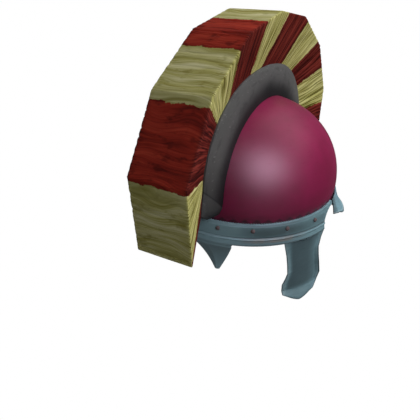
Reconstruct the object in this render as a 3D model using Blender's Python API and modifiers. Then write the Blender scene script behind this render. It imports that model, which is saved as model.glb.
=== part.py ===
"""A crested centurion helmet, in metres, +Z up, with the wearer facing -Y.

The origin is the inner top of the bowl's crown, where the head sits. Azimuths are in degrees
round +Z, 0 at the front and 90 at the wearer's left. The rim is the level of the brow band's
top edge, and crest angles are in degrees from the vertical about the crest's centre, positive
to the front.
"""

import math
import random

import bmesh
import bpy
from mathutils import Matrix, Vector

# Clearances and fineness
GAP = 0.0003
MERGE = 0.00001
TURN_STEPS = 48
ROUND_SIDES = 8
REAR_OVERLAP = 0.0010

# Bowl
BOWL_RADIUS = 0.1150
BOWL_RISE = 0.1030
BOWL_ROUNDNESS = 2.15
BOWL_WALL = 0.0016
BOWL_RINGS = 10
TAPER_HEIGHT = 0.0650
RIM_DROP = 0.0130
SKIRT_DEPTH = 0.0130
WIDEST_Z = BOWL_WALL - BOWL_RISE
RIM_Z = WIDEST_Z - RIM_DROP
RIM_RADIUS = BOWL_RADIUS * math.sqrt(1 - (RIM_DROP / TAPER_HEIGHT) ** 2)

# Brow band
BAND_FLARE = 0.27
BAND_SLOPE = math.atan(BAND_FLARE)
BAND_WALL = 0.0019
BAND_HEIGHT = 0.0260
BAND_RADIUS = RIM_RADIUS + GAP + BAND_WALL
BEAD_DEPTH = 0.0172
BEAD_HEIGHT = 0.0024
BEAD_RELIEF = 0.0008
BEAD_EASE = 0.0007

# Ear openings, quarter ellipses rising from the band's lower edge
EAR_HALF_WIDTH = 0.0290
EAR_RISE = 0.0213
EAR_MARGIN = 0.0012
EAR_BACK = 0.0120

# Nasal
NASAL_WALL = 0.0015
NASAL_LENGTH = 0.0638
NASAL_TOP_HALF = 0.0355
NASAL_TIP_HALF = 0.0037
NASAL_TOP_REACH = 0.1159
NASAL_TIP_REACH = 0.0864
NASAL_TOP_BULGE = 0.0054
NASAL_TIP_BULGE = 0.0020
NASAL_ROOT = 0.0045
NASAL_SET_IN = 0.0001
NASAL_BLEND_START = 0.80
NASAL_COLUMNS = 10
NASAL_ROWS = 10

# Neck guard: azimuth in degrees, drop below the rim, and how far its lower edge flares out
NECK_START = 91.2
NECK_WALL = 0.0018
NECK_COLUMNS = 32
NECK_ROWS = 4
NECK_SECTIONS = (
    {"azimuth": 91.2, "drop": 0.0200, "flare": 0.0042},
    {"azimuth": 95.0, "drop": 0.0210, "flare": 0.0095},
    {"azimuth": 100.0, "drop": 0.0250, "flare": 0.0148},
    {"azimuth": 104.0, "drop": 0.0290, "flare": 0.0158},
    {"azimuth": 128.0, "drop": 0.0330, "flare": 0.0165},
    {"azimuth": 180.0, "drop": 0.0400, "flare": 0.0250},
)

# Rivets of the band and the neck guard
RIVET_DEPTH = 0.0080
RIVET_SLOPE_SPAN = 0.05
RIVET_AZIMUTHS = (8, 28, 48, 68, 108, 128, 148, 168)
RIVET_HEAD = 0.0026
RIVET_HEIGHT = 0.0017
DOME_SHOULDER = {"across": 0.70, "up": 0.75}
RIVET_SHANK = 0.0013
RIVET_GRIP = 0.0042
RIVET_TAIL = 0.0021
RIVET_TAIL_HEIGHT = 0.0007
RIVET_HOLE_INWARD = 0.0080
RIVET_HOLE_OUTWARD = 0.0040

# Hinges: the axis is level, below the band's lower edge and inboard of the cheek guard
HINGE_AZIMUTH = 60.0
HINGE_DROP = 0.0038
GUARD_CLEARANCE = 0.0004
GUARD_REACH = BAND_RADIUS - BAND_WALL + BAND_FLARE * BAND_HEIGHT - GUARD_CLEARANCE
HINGE_INSET = 0.0043
HINGE_RADIUS = GUARD_REACH - HINGE_INSET
HINGE_Z = RIM_Z - BAND_HEIGHT - HINGE_DROP
BARREL = 0.0022
PIN = 0.0010
PIN_END = 0.00145
PIN_END_LENGTH = 0.0006
FIXED_KNUCKLE = 0.0120
MOVING_KNUCKLE = 0.0080
KNUCKLE_START = 25
KNUCKLE_END = 270
KNUCKLE_STEPS = 10
KNUCKLE_TUCK = 0.0004
NOTCH_FOOT = 0.0010
LEAF_WALL = 0.00135
LEAF_SET_IN = 0.00015
LEAF_CLEARANCE = GAP + 0.0002
LEAF_RISE = 0.0265
LEAF_BEND = 0.0120
LEAF_CURL_STEPS = 12
HINGE_RIVET_DEPTH = 0.0080
HINGE_RIVET_SPREAD = 0.0032
HINGE_RIVET_SHANK = 0.0010
HINGE_RIVET_HEAD = 0.0020
HINGE_RIVET_HEIGHT = 0.0010
HINGE_RIVET_BITE = 0.90
HINGE_HOLE_INWARD = 0.0050

# Cheek guards, in rows from the bottom edge to the top. The front and rear points are a distance
# along the hinge axis and a height from the rim, the row's middle dips below them, and out and
# side are how much of the turned-out lip the row has at its foot and at its two ends.
GUARD_WALL = 0.0016
GUARD_CURVE = 0.1400
GUARD_COLUMNS = 12
GUARD_FOLD = 0.11
GUARD_ROWS = (
    {"front": (-0.0262, -0.1013), "rear": (0.0226, -0.1080), "dip": 0.0105, "out": 1.0, "side": 1.0},
    {"front": (-0.0266, -0.0965), "rear": (0.0312, -0.0980), "dip": 0.0026, "out": 0.0, "side": 1.0},
    {"front": (-0.0272, -0.0871), "rear": (0.0340, -0.0884), "dip": 0.0010, "out": 0.0, "side": 1.0},
    {"front": (-0.0235, -0.0790), "rear": (0.0318, -0.0790), "dip": 0.0000, "out": 0.0, "side": 1.0},
    {"front": (-0.0209, -0.0714), "rear": (0.0296, -0.0700), "dip": 0.0000, "out": 0.0, "side": 1.0},
    {"front": (-0.0222, -0.0590), "rear": (0.0268, -0.0580), "dip": 0.0000, "out": 0.0, "side": 0.9},
    {"front": (-0.0240, -0.0455), "rear": (0.0257, -0.0465), "dip": 0.0000, "out": 0.0, "side": 0.6},
    {"front": (-0.0262, -0.0350), "rear": (0.0300, -0.0350), "dip": 0.0000, "out": 0.0, "side": 0.2},
    {"front": (-0.0282, -0.0264), "rear": (0.0355, -0.0264), "dip": 0.0000, "out": 0.0, "side": 0.0},
)
FRONT_TURN = 0.0022
REAR_TURN = 0.0032
BOTTOM_TURN = 0.0050
BOTTOM_TURN_AT_ENDS = 0.60

# Crest holder
CREST_DROP = 0.0034
CREST_Z = RIM_Z - CREST_DROP
HOLDER_PROFILE = (
    {"angle": 0.0, "radius": 0.1552, "width": 1.0},
    {"angle": 12.0, "radius": 0.1568, "width": 1.0},
    {"angle": 24.0, "radius": 0.1608, "width": 1.0},
    {"angle": 36.0, "radius": 0.1642, "width": 1.0},
    {"angle": 46.0, "radius": 0.1652, "width": 1.0},
    {"angle": 55.0, "radius": 0.1638, "width": 1.0},
    {"angle": 64.0, "radius": 0.1598, "width": 1.0},
    {"angle": 72.0, "radius": 0.1552, "width": 1.0},
    {"angle": 80.0, "radius": 0.1530, "width": 1.0},
    {"angle": 84.0, "radius": 0.1345, "width": 0.82},
    {"angle": 88.0, "radius": 0.1162, "width": 0.30},
)
HOLDER_HALF = 0.0210
HOLDER_CORE = 0.0800
HOLDER_SHOULDER = (
    {"below": 0.0260, "in": 0.0000},
    {"below": 0.0160, "in": 0.0010},
    {"below": 0.0085, "in": 0.0023},
    {"below": 0.0030, "in": 0.0038},
    {"below": 0.0000, "in": 0.0054},
)
CHANNEL_HALF = 0.0142
CHANNEL_DEPTH = 0.0040
CHANNEL_END = 82.0

# Crest pins, through the crown into the holder
CREST_PIN_ANGLE = 45.0
CREST_PIN = 0.0020
CREST_PIN_REACH = 0.0180
CREST_PIN_HEAD = 0.0045
CREST_PIN_HEAD_HEIGHT = 0.0015
CREST_PIN_BEVEL = 0.80
CREST_PIN_HOLE_INWARD = 0.0060

# Crest: the corners of its outline, and the seams between its stripes from front to back
CREST_OUTLINE = (
    {"angle": 0.0, "radius": 0.2178},
    {"angle": 22.1, "radius": 0.2209},
    {"angle": 45.2, "radius": 0.2267},
    {"angle": 67.4, "radius": 0.2254},
    {"angle": 90.0, "radius": 0.2020},
)
CREST_SEAMS = (
    {"rim": 90.0, "base": 80.0},
    {"rim": 88.4, "base": 68.0},
    {"rim": 68.5, "base": 64.7},
    {"rim": 47.6, "base": 44.0},
    {"rim": 28.8, "base": 33.0},
    {"rim": 11.0, "base": 13.5},
    {"rim": -5.7, "base": 3.0},
    {"rim": -25.4, "base": -22.0},
    {"rim": -41.7, "base": -36.0},
    {"rim": -55.8, "base": -50.0},
    {"rim": -72.0, "base": -66.0},
    {"rim": -80.5, "base": -75.0},
    {"rim": -90.0, "base": -80.0},
)
CREST_RIM_HALF = 0.0339
CREST_BASE_HALF = 0.0125
CREST_EASE = 0.0016
LOCK_ANGLE = 2.25
LOCK_DEPTH = 0.0014
LOCK_UNEVEN = {"place": 0.22, "shallow": 0.7, "deep": 1.2}
LOCK_SEED = 7


def clear_scene():
    for obj in list(bpy.data.objects):
        bpy.data.objects.remove(obj, do_unlink=True)


def make_collection(name):
    collection = bpy.data.collections.new(name)
    bpy.context.scene.collection.children.link(collection)
    return collection


def make_material(name, colour, roughness, metallic=0.0):
    material = bpy.data.materials.new(name)
    material.use_nodes = True
    shader = material.node_tree.nodes["Principled BSDF"]
    shader.inputs["Base Color"].default_value = (*colour, 1)
    shader.inputs["Roughness"].default_value = roughness
    shader.inputs["Metallic"].default_value = metallic
    return material


def add_object(name, mesh, matrix=None):
    """A part's object, in the helmet's collection."""
    obj = bpy.data.objects.new(name, mesh)
    helmet.objects.link(obj)
    obj.matrix_world = matrix or Matrix()
    return obj


def finish(obj, material, sharp=40):
    obj.data.materials.append(material)
    obj.data.shade_smooth()
    obj.data.set_sharp_from_angle(angle=math.radians(sharp))
    return obj


def as_tool(obj):
    """Moves an object to the cutters: it shapes others and isn't a part itself."""
    helmet.objects.unlink(obj)
    cutters.objects.link(obj)
    obj.hide_render = True
    obj.display_type = "WIRE"
    return obj


def boolean(obj, operation, tool):
    modifier = obj.modifiers.new(f"{operation.lower()} {tool.name}", "BOOLEAN")
    modifier.operation = operation
    modifier.solver = "EXACT"
    modifier.object = tool


def solidify(obj, thickness):
    """Gives an open surface, seen from outside, its wall on the inner side."""
    modifier = obj.modifiers.new("wall", "SOLIDIFY")
    modifier.thickness = thickness
    modifier.offset = -1
    modifier.use_even_offset = True


def turned(name, profile, closed, steps=TURN_STEPS, matrix=None):
    """A profile of (radius, height), running down its outer side, turned about Z."""
    count = len(profile)
    edges = [(i, i + 1) for i in range(count - 1)]
    if closed:
        edges.append((count - 1, 0))
    mesh = bpy.data.meshes.new(name)
    mesh.from_pydata([(radius, 0, height) for radius, height in profile], edges, [])
    obj = add_object(name, mesh, matrix)
    screw = obj.modifiers.new("turn", "SCREW")
    screw.steps = steps
    screw.render_steps = steps
    screw.use_merge_vertices = True
    screw.merge_threshold = MERGE
    screw.use_smooth_shade = True
    return obj


def sheet(name, columns, rows, point, matrix=None, flip=False):
    """An open surface: point(u, v) places the corners of a grid, u across and v upward."""
    bm = bmesh.new()
    bmesh.ops.create_grid(bm, x_segments=columns, y_segments=rows, size=1)
    for vertex in bm.verts:
        vertex.co = point((vertex.co.x + 1) / 2, (vertex.co.y + 1) / 2)
    if flip:
        bmesh.ops.reverse_faces(bm, faces=bm.faces)
    mesh = bpy.data.meshes.new(name)
    bm.to_mesh(mesh)
    bm.free()
    return add_object(name, mesh, matrix)


def extruded(name, outlines, width, matrix, parent_matrix=None):
    """Flat outlines, a hole being one inside another, made a solid that is width thick."""
    curve = bpy.data.curves.new(name, "CURVE")
    curve.dimensions = "2D"
    curve.fill_mode = "BOTH"
    curve.extrude = width / 2
    for outline in outlines:
        spline = curve.splines.new("POLY")
        spline.points.add(len(outline) - 1)
        for point, (across, up) in zip(spline.points, outline):
            point.co = (across, up, 0, 1)
        spline.use_cyclic_u = True
    guide = add_object(name, curve)
    bpy.context.view_layer.update()
    graph = bpy.context.evaluated_depsgraph_get()
    mesh = bpy.data.meshes.new_from_object(guide.evaluated_get(graph))
    bpy.data.objects.remove(guide)
    mesh.transform(matrix)
    weld(mesh)
    return add_object(name, mesh, parent_matrix)


def weld(mesh):
    bm = bmesh.new()
    bm.from_mesh(mesh)
    bmesh.ops.remove_doubles(bm, verts=bm.verts, dist=MERGE)
    bmesh.ops.recalc_face_normals(bm, faces=bm.faces)
    bm.to_mesh(mesh)
    bm.free()


def loft(name, sections):
    """Closed sections with equal numbers of points, joined in order and capped at both ends."""
    bm = bmesh.new()
    rings = [[bm.verts.new(point) for point in section] for section in sections]
    for near, far in zip(rings, rings[1:]):
        for i, corner in enumerate(near):
            bm.faces.new((near[i - 1], corner, far[i], far[i - 1]))
    bm.faces.new(rings[0])
    bm.faces.new(rings[-1])
    bmesh.ops.recalc_face_normals(bm, faces=bm.faces)
    mesh = bpy.data.meshes.new(name)
    bm.to_mesh(mesh)
    bm.free()
    return add_object(name, mesh)


def rods(name, places, radius, bottom, top):
    """Straight round cutters along the Z axis of each place, in one mesh."""
    bm = bmesh.new()
    for place in places:
        bmesh.ops.create_cone(
            bm,
            cap_ends=True,
            segments=ROUND_SIDES,
            radius1=radius,
            radius2=radius,
            depth=top - bottom,
            matrix=place @ Matrix.Translation((0, 0, (top + bottom) / 2)),
        )
    mesh = bpy.data.meshes.new(name)
    bm.to_mesh(mesh)
    bm.free()
    return as_tool(add_object(name, mesh))


def box(name, low, high, matrix=None):
    bm = bmesh.new()
    bmesh.ops.create_cube(bm, size=1)
    bmesh.ops.scale(bm, vec=Vector(high) - Vector(low), verts=bm.verts)
    bmesh.ops.translate(bm, vec=(Vector(high) + Vector(low)) / 2, verts=bm.verts)
    mesh = bpy.data.meshes.new(name)
    bm.to_mesh(mesh)
    bm.free()
    return as_tool(add_object(name, mesh, matrix))


def between(rows, key, value):
    """The row before and after a value of the key column, and the fraction between them."""
    for before, after in zip(rows, rows[1:]):
        if value <= after[key]:
            break
    return before, after, (value - before[key]) / (after[key] - before[key])


def lerp(start, end, fraction):
    return start + (end - start) * fraction


def smooth(fraction):
    return fraction * fraction * (3 - 2 * fraction)


def arc(radius, start, end, steps):
    """Points of an arc about the origin, between two angles in degrees."""
    angles = [math.radians(lerp(start, end, i / steps)) for i in range(steps + 1)]
    return [(radius * math.cos(angle), radius * math.sin(angle)) for angle in angles]


def circle(radius, sides):
    return arc(radius, 0, 360, sides)[:-1]


def on_ring(azimuth, radius, z):
    angle = math.radians(azimuth)
    return Vector((radius * math.sin(angle), -radius * math.cos(angle), z))


def facing_out(azimuth, location, slope):
    """A place whose Z axis points outward at this azimuth, raised by the surface's slope."""
    turn = Matrix.Rotation(math.radians(azimuth), 4, "Z")
    tilt = Matrix.Rotation(math.pi / 2 - slope, 4, "X")
    return Matrix.Translation(location) @ turn @ tilt


def bowl_point(turn):
    """Radius, height and outward normal of the bowl's outer face: turn runs 0 to 90 degrees."""
    power = 2 / BOWL_ROUNDNESS
    radius = BOWL_RADIUS * abs(math.cos(math.radians(turn))) ** power
    rise = BOWL_RISE * math.sin(math.radians(turn)) ** power
    across = radius ** (BOWL_ROUNDNESS - 1) / BOWL_RADIUS**BOWL_ROUNDNESS
    up = rise ** (BOWL_ROUNDNESS - 1) / BOWL_RISE**BOWL_ROUNDNESS
    return radius, WIDEST_Z + rise, Vector((across, up)).normalized()


def bowl_profile(grow):
    """The outer face from the crown's top to the rim, grown by a clearance."""
    points = [(0, WIDEST_Z + BOWL_RISE + grow)]
    for ring in range(1, BOWL_RINGS):
        radius, z, normal = bowl_point(90 * (1 - ring / BOWL_RINGS))
        points.append((radius + grow * normal.x, z + grow * normal.y))
    points.append((BOWL_RADIUS + grow, WIDEST_Z))
    points.append((RIM_RADIUS + grow, RIM_Z))
    return points


def skirt_radius(depth):
    """The bowl's outer radius at a depth below the rim, where the skirt flares."""
    return RIM_RADIUS + BAND_FLARE * depth


def band_radius(depth):
    return BAND_RADIUS + BAND_FLARE * depth


def neck_point(azimuth, fraction):
    """Radius and depth below the rim of the neck guard's outer face."""
    side = min(azimuth, 360 - azimuth)
    before, after, part = between(NECK_SECTIONS, "azimuth", side)
    drop = lerp(before["drop"], after["drop"], smooth(part))
    flare = lerp(before["flare"], after["flare"], smooth(part))
    straight = BAND_FLARE * drop
    radius = BAND_RADIUS + straight * fraction + (flare - straight) * fraction**3
    return radius, drop * fraction


def rivet_place(azimuth):
    """A place on the outer face of the band or the neck guard, with Z along its normal."""
    if min(azimuth, 360 - azimuth) < NECK_START:
        radius = band_radius(RIVET_DEPTH)
        flare = BAND_FLARE
    else:
        fraction = RIVET_DEPTH / neck_point(azimuth, 1)[1]
        radius, depth = neck_point(azimuth, fraction)
        lower, deeper = neck_point(azimuth, fraction + RIVET_SLOPE_SPAN)
        flare = (BAND_FLARE + (lower - radius) / (deeper - depth)) / 2
    return facing_out(azimuth, on_ring(azimuth, radius, RIM_Z - RIVET_DEPTH), math.atan(flare))


def rivet_places():
    azimuths = [azimuth for front in RIVET_AZIMUTHS for azimuth in (front, 360 - front)]
    return {azimuth: rivet_place(azimuth) for azimuth in sorted(azimuths)}


def hinge_frame(side):
    """A hinge's frame: X along its axis, -Y outward, Z up. Side is 1 for left, -1 for right."""
    azimuth = side * HINGE_AZIMUTH
    turn = Matrix.Rotation(math.radians(azimuth), 4, "Z")
    return Matrix.Translation(on_ring(azimuth, HINGE_RADIUS, HINGE_Z)) @ turn


def hinge_rivet_places(side):
    """Places on the skirt's inner face behind a hinge, with Z outward through the skirt."""
    wall = BOWL_WALL / math.cos(BAND_SLOPE)
    out = skirt_radius(HINGE_RIVET_DEPTH) - wall - HINGE_RADIUS
    up = RIM_Z - HINGE_RIVET_DEPTH - HINGE_Z
    tilt = Matrix.Rotation(math.pi / 2 - BAND_SLOPE, 4, "X")
    spread = (-HINGE_RIVET_SPREAD, HINGE_RIVET_SPREAD)
    return [hinge_frame(side) @ Matrix.Translation((along, -out, up)) @ tilt for along in spread]


def crest_pin_place(side):
    """A place on the bowl's outer face under the crest, with Z along its normal."""
    radius, z, normal = bowl_point(CREST_PIN_ANGLE)
    azimuth = 0 if side > 0 else 180
    return facing_out(azimuth, on_ring(azimuth, radius, z), math.atan2(normal.y, normal.x))


def ear_opening(name, margin):
    """A cutter across the helmet, whose front edge is a quarter of an ellipse."""
    outline = [
        (-(EAR_HALF_WIDTH + margin) * math.cos(math.radians(angle)),
         (EAR_RISE + margin) * math.sin(math.radians(angle)))
        for angle in range(0, 91, 9)
    ]
    outline[0] = (outline[0][0], -margin)
    outline += [(EAR_BACK, EAR_RISE + margin), (EAR_BACK, -margin)]
    base = RIM_Z - BAND_HEIGHT
    along = Matrix.Rotation(math.pi / 2, 4, "Z") @ Matrix.Rotation(math.pi / 2, 4, "X")
    moved = [(across, up + base) for across, up in outline]
    past_both_sides = 4 * BOWL_RADIUS
    return as_tool(extruded(name, [moved], past_both_sides, along))


def make_bowl(holes):
    """The crown, drawn in to the rim and flared again as the skirt behind the band."""
    profile = bowl_profile(0)
    profile.append((skirt_radius(SKIRT_DEPTH), RIM_Z - SKIRT_DEPTH))
    bowl = turned("bowl", profile, closed=False)
    solidify(bowl, BOWL_WALL)
    boolean(bowl, "DIFFERENCE", ear_opening("bowl_ear_cutter", EAR_MARGIN))
    for cutter in holes:
        boolean(bowl, "DIFFERENCE", cutter)
    return finish(bowl, crimson)


def nasal_point(across, up):
    """The nasal's outer face, from its tip up to a root inside the band's lower edge."""
    root = NASAL_ROOT / (NASAL_ROOT + NASAL_LENGTH)
    fraction = min(up / (1 - root), 1)
    above = max(up - (1 - root), 0) / root * NASAL_ROOT
    half = lerp(NASAL_TIP_HALF, NASAL_TOP_HALF, fraction)
    x = half * (2 * across - 1)
    reach = lerp(NASAL_TIP_REACH, NASAL_TOP_REACH, fraction**2)
    bulge = lerp(NASAL_TIP_BULGE, NASAL_TOP_BULGE, fraction) * (1 - (x / half) ** 2)
    depth = BAND_HEIGHT + NASAL_LENGTH * (1 - fraction) - above
    in_band = band_radius(depth) - (BAND_WALL - NASAL_WALL) / 2 - NASAL_SET_IN
    seated = math.sqrt(in_band**2 - x**2)
    blend = smooth(max(0, (fraction - NASAL_BLEND_START) / (1 - NASAL_BLEND_START)))
    return Vector((x, -lerp(reach + bulge, seated, blend), RIM_Z - depth))


def make_brow_band(holes):
    """The steel band round the front, with a bead, and the nasal in one piece with it."""
    bead = (
        (BEAD_DEPTH - BEAD_EASE, 0),
        (BEAD_DEPTH, BEAD_RELIEF),
        (BEAD_DEPTH + BEAD_HEIGHT, BEAD_RELIEF),
        (BEAD_DEPTH + BEAD_HEIGHT + BEAD_EASE, 0),
    )
    outer = [(0, 0), *bead, (BAND_HEIGHT, 0)]
    profile = [(band_radius(depth) + relief, RIM_Z - depth) for depth, relief in outer]
    profile.append((band_radius(BAND_HEIGHT) - BAND_WALL, RIM_Z - BAND_HEIGHT))
    profile.append((band_radius(0) - BAND_WALL, RIM_Z))
    band = turned("brow_band", profile, closed=True)
    reach = 2 * BOWL_RADIUS
    low = (-reach, REAR_OVERLAP, RIM_Z - reach)
    rear = box("rear_half_cutter", low, (reach, reach, RIM_Z + reach))
    boolean(band, "DIFFERENCE", rear)
    boolean(band, "DIFFERENCE", ear_opening("band_ear_cutter", 0))
    nasal = as_tool(sheet("nasal_tool", NASAL_COLUMNS, NASAL_ROWS, nasal_point))
    solidify(nasal, NASAL_WALL)
    boolean(band, "UNION", nasal)
    boolean(band, "DIFFERENCE", holes)
    return finish(band, steel, sharp=25)


def make_neck_guard(holes):
    """The flared plate round the back, riveted outside the bowl's skirt."""

    def point(across, up):
        swing = (math.cos(math.pi * across) + 1 - 2 * across) / 2
        azimuth = 180 - (180 - NECK_START) * swing
        radius, depth = neck_point(azimuth, 1 - up)
        return on_ring(azimuth, radius, RIM_Z - depth)

    guard = sheet("neck_guard", NECK_COLUMNS, NECK_ROWS, point)
    solidify(guard, NECK_WALL)
    boolean(guard, "DIFFERENCE", holes)
    return finish(guard, steel)


def make_rivets(places):
    profile = [
        (0, GAP + RIVET_HEIGHT),
        (RIVET_HEAD * DOME_SHOULDER["across"], GAP + RIVET_HEIGHT * DOME_SHOULDER["up"]),
        (RIVET_HEAD, GAP),
        (RIVET_SHANK, GAP),
        (RIVET_SHANK, -RIVET_GRIP),
        (RIVET_TAIL, -RIVET_GRIP),
        (0, -RIVET_GRIP - RIVET_TAIL_HEIGHT),
    ]
    for number, place in enumerate(places.values(), start=1):
        rivet = turned(f"rivet_{number:02d}", profile, False, ROUND_SIDES, place)
        finish(rivet, copper)


def hinge_side_view():
    """Turns an outline of (outward, up) pairs so that it lies across the hinge's axis."""
    return Matrix.Rotation(-math.pi / 2, 4, "Z") @ Matrix.Rotation(math.pi / 2, 4, "X")


def make_hinge_leaf(side, name, holes):
    """The fixed leaf behind the skirt, rolled round the pin at its foot."""
    back = -BARREL + LEAF_SET_IN
    front = back + LEAF_WALL
    foot = RIM_Z - SKIRT_DEPTH - HINGE_Z
    wall = BOWL_WALL / math.cos(BAND_SLOPE)
    at_foot = skirt_radius(SKIRT_DEPTH) - wall - HINGE_RADIUS - LEAF_CLEARANCE
    at_top = at_foot - BAND_FLARE * (LEAF_RISE - foot)
    start = math.degrees(math.acos(front / BARREL))
    end = math.degrees(math.acos(back / BARREL))
    outline = arc(BARREL, start, end - 360, LEAF_CURL_STEPS)
    outline += [
        (back, LEAF_BEND),
        (at_foot - LEAF_WALL, foot),
        (at_top - LEAF_WALL, LEAF_RISE),
        (at_top, LEAF_RISE),
        (at_foot, foot),
        (front, LEAF_BEND),
    ]
    bore = circle(PIN + GAP, ROUND_SIDES)
    leaf = extruded(name, [outline, bore], FIXED_KNUCKLE, hinge_side_view(), hinge_frame(side))
    boolean(leaf, "DIFFERENCE", holes)
    return finish(leaf, iron, sharp=30)


def guard_point(across, up, side):
    """The cheek guard's outer face in its hinge's frame, with its edges turned outward."""
    place = up * (len(GUARD_ROWS) - 1)
    index = min(int(place), len(GUARD_ROWS) - 2)
    low = GUARD_ROWS[index]
    high = GUARD_ROWS[index + 1]
    part = place - index
    front = Vector(low["front"]).lerp(Vector(high["front"]), part)
    rear = Vector(low["rear"]).lerp(Vector(high["rear"]), part)
    middle = 1 - abs(2 * across - 1)
    along, depth = front.lerp(rear, across)
    depth -= lerp(low["dip"], high["dip"], part) * smooth(middle)
    turn = max(0, 1 - across / GUARD_FOLD) * FRONT_TURN
    turn += max(0, 1 - (1 - across) / GUARD_FOLD) * REAR_TURN
    turn *= lerp(low["side"], high["side"], part)
    lip = BOTTOM_TURN * lerp(BOTTOM_TURN_AT_ENDS, 1, middle)
    turn += lerp(low["out"], high["out"], part) * lip
    out = HINGE_INSET - along**2 / (2 * GUARD_CURVE) + turn
    return Vector((side * along, -out, RIM_Z + depth - HINGE_Z))


def make_cheek_guard(side, name):
    """A dished plate with out-turned edges, hung on two knuckles behind its top edge."""
    frame = hinge_frame(side)

    def point(across, up):
        return guard_point(fold_columns(across), up, side)

    guard = sheet(name, GUARD_COLUMNS, len(GUARD_ROWS) - 1, point, frame, flip=side < 0)
    solidify(guard, GUARD_WALL)
    top = HINGE_DROP + BAND_HEIGHT
    notch = FIXED_KNUCKLE / 2 + 2 * GAP
    cutter = box(f"{name}_notch", (-notch, -top, NOTCH_FOOT), (notch, top, top), frame)
    boolean(guard, "DIFFERENCE", cutter)
    outline = arc(BARREL, KNUCKLE_START, KNUCKLE_END, KNUCKLE_STEPS)
    arm = HINGE_INSET - GUARD_WALL / 2 - KNUCKLE_TUCK
    outline += [(arm, outline[-1][1]), (arm, outline[0][1])]
    bore = circle(PIN + GAP, ROUND_SIDES)
    for place, end in (("near", -1), ("far", 1)):
        shift = end * (FIXED_KNUCKLE / 2 + GAP + MOVING_KNUCKLE / 2)
        across = Matrix.Translation((shift, 0, 0)) @ hinge_side_view()
        knuckle = extruded(f"{name}_{place}_knuckle", [outline], MOVING_KNUCKLE, across, frame)
        boolean(guard, "UNION", as_tool(knuckle))
    past_knuckles = 2 * (FIXED_KNUCKLE + 2 * MOVING_KNUCKLE)
    drill = as_tool(extruded(f"{name}_bore", [bore], past_knuckles, hinge_side_view(), frame))
    boolean(guard, "DIFFERENCE", drill)
    return finish(guard, steel, sharp=25)


def fold_columns(across):
    """Spaces the plate's columns so that one lies on each fold and the rest between them."""
    edge = 1 / GUARD_COLUMNS
    if across < edge:
        return across / edge * GUARD_FOLD
    if across > 1 - edge:
        return 1 - (1 - across) / edge * GUARD_FOLD
    return lerp(GUARD_FOLD, 1 - GUARD_FOLD, (across - edge) / (1 - 2 * edge))


def make_hinge_pin(side, name):
    half = FIXED_KNUCKLE / 2 + 2 * GAP + MOVING_KNUCKLE + PIN_END_LENGTH
    neck = half - PIN_END_LENGTH
    profile = [(0, half), (PIN_END, half), (PIN_END, neck), (PIN, neck)]
    profile += [(radius, -height) for radius, height in reversed(profile)]
    place = hinge_frame(side) @ Matrix.Rotation(math.pi / 2, 4, "Y")
    return finish(turned(name, profile, False, ROUND_SIDES, place), iron, sharp=30)


def make_hinge_rivets(side, name):
    seat = -(LEAF_CLEARANCE + LEAF_WALL + GAP)
    bite = BOWL_WALL * HINGE_RIVET_BITE
    profile = [
        (0, bite),
        (HINGE_RIVET_SHANK, bite),
        (HINGE_RIVET_SHANK, seat),
        (HINGE_RIVET_HEAD, seat),
        (HINGE_RIVET_HEAD * DOME_SHOULDER["across"], seat - HINGE_RIVET_HEIGHT),
        (0, seat - HINGE_RIVET_HEIGHT),
    ]
    for number, place in enumerate(hinge_rivet_places(side), start=1):
        rivet = turned(f"{name}_{number}", profile, False, ROUND_SIDES, place)
        finish(rivet, iron)


def crest_point(angle, radius, x):
    turn = math.radians(angle)
    return Vector((x, -radius * math.sin(turn), CREST_Z + radius * math.cos(turn)))


def holder_size(angle):
    """The holder's outer radius about the crest's centre, and its share of the full width."""
    before, after, part = between(HOLDER_PROFILE, "angle", abs(angle))
    radius = lerp(before["radius"], after["radius"], part)
    return radius, lerp(before["width"], after["width"], part)


def make_holder(holes):
    """The wooden block under the crest, seated on the crown, with a channel along its top."""
    angles = [row["angle"] for row in HOLDER_PROFILE]
    angles = [-angle for angle in reversed(angles[1:])] + angles
    sections = []
    for angle in angles:
        radius, share = holder_size(angle)
        side = [(HOLDER_HALF * share, HOLDER_CORE)]
        for row in HOLDER_SHOULDER:
            side.append(((HOLDER_HALF - row["in"]) * share, radius - row["below"] * share))
        section = [crest_point(angle, reach, x) for x, reach in side]
        section += [crest_point(angle, reach, -x) for x, reach in reversed(side)]
        sections.append(section)
    holder = loft("crest_holder", sections)
    profile = bowl_profile(GAP)
    profile += [(RIM_RADIUS, RIM_Z - RIM_DROP), (0, RIM_Z - RIM_DROP)]
    boolean(holder, "DIFFERENCE", as_tool(turned("crown_clearance", profile, closed=False)))
    boolean(holder, "DIFFERENCE", make_channel())
    boolean(holder, "DIFFERENCE", holes)
    return finish(holder, dark_wood, sharp=30)


def make_channel():
    """A cutter that follows the holder's outer face at a constant depth, to past its ends."""
    end = CREST_SEAMS[0]["base"]
    angles = [row["angle"] for row in HOLDER_PROFILE if row["angle"] <= end]
    angles = [-angle for angle in reversed(angles[1:])] + angles
    radii = [holder_size(angle)[0] for angle in angles]
    angles = [-CHANNEL_END, *angles, CHANNEL_END]
    radii = [radii[0], *radii, radii[-1]]
    sections = []
    for angle, radius in zip(angles, radii):
        floor = radius - CHANNEL_DEPTH
        top = radius + CHANNEL_DEPTH
        half = CHANNEL_HALF
        corners = ((half, floor), (half, top), (-half, top), (-half, floor))
        sections.append([crest_point(angle, reach, x) for x, reach in corners])
    return as_tool(loft("channel_cutter", sections))


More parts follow.
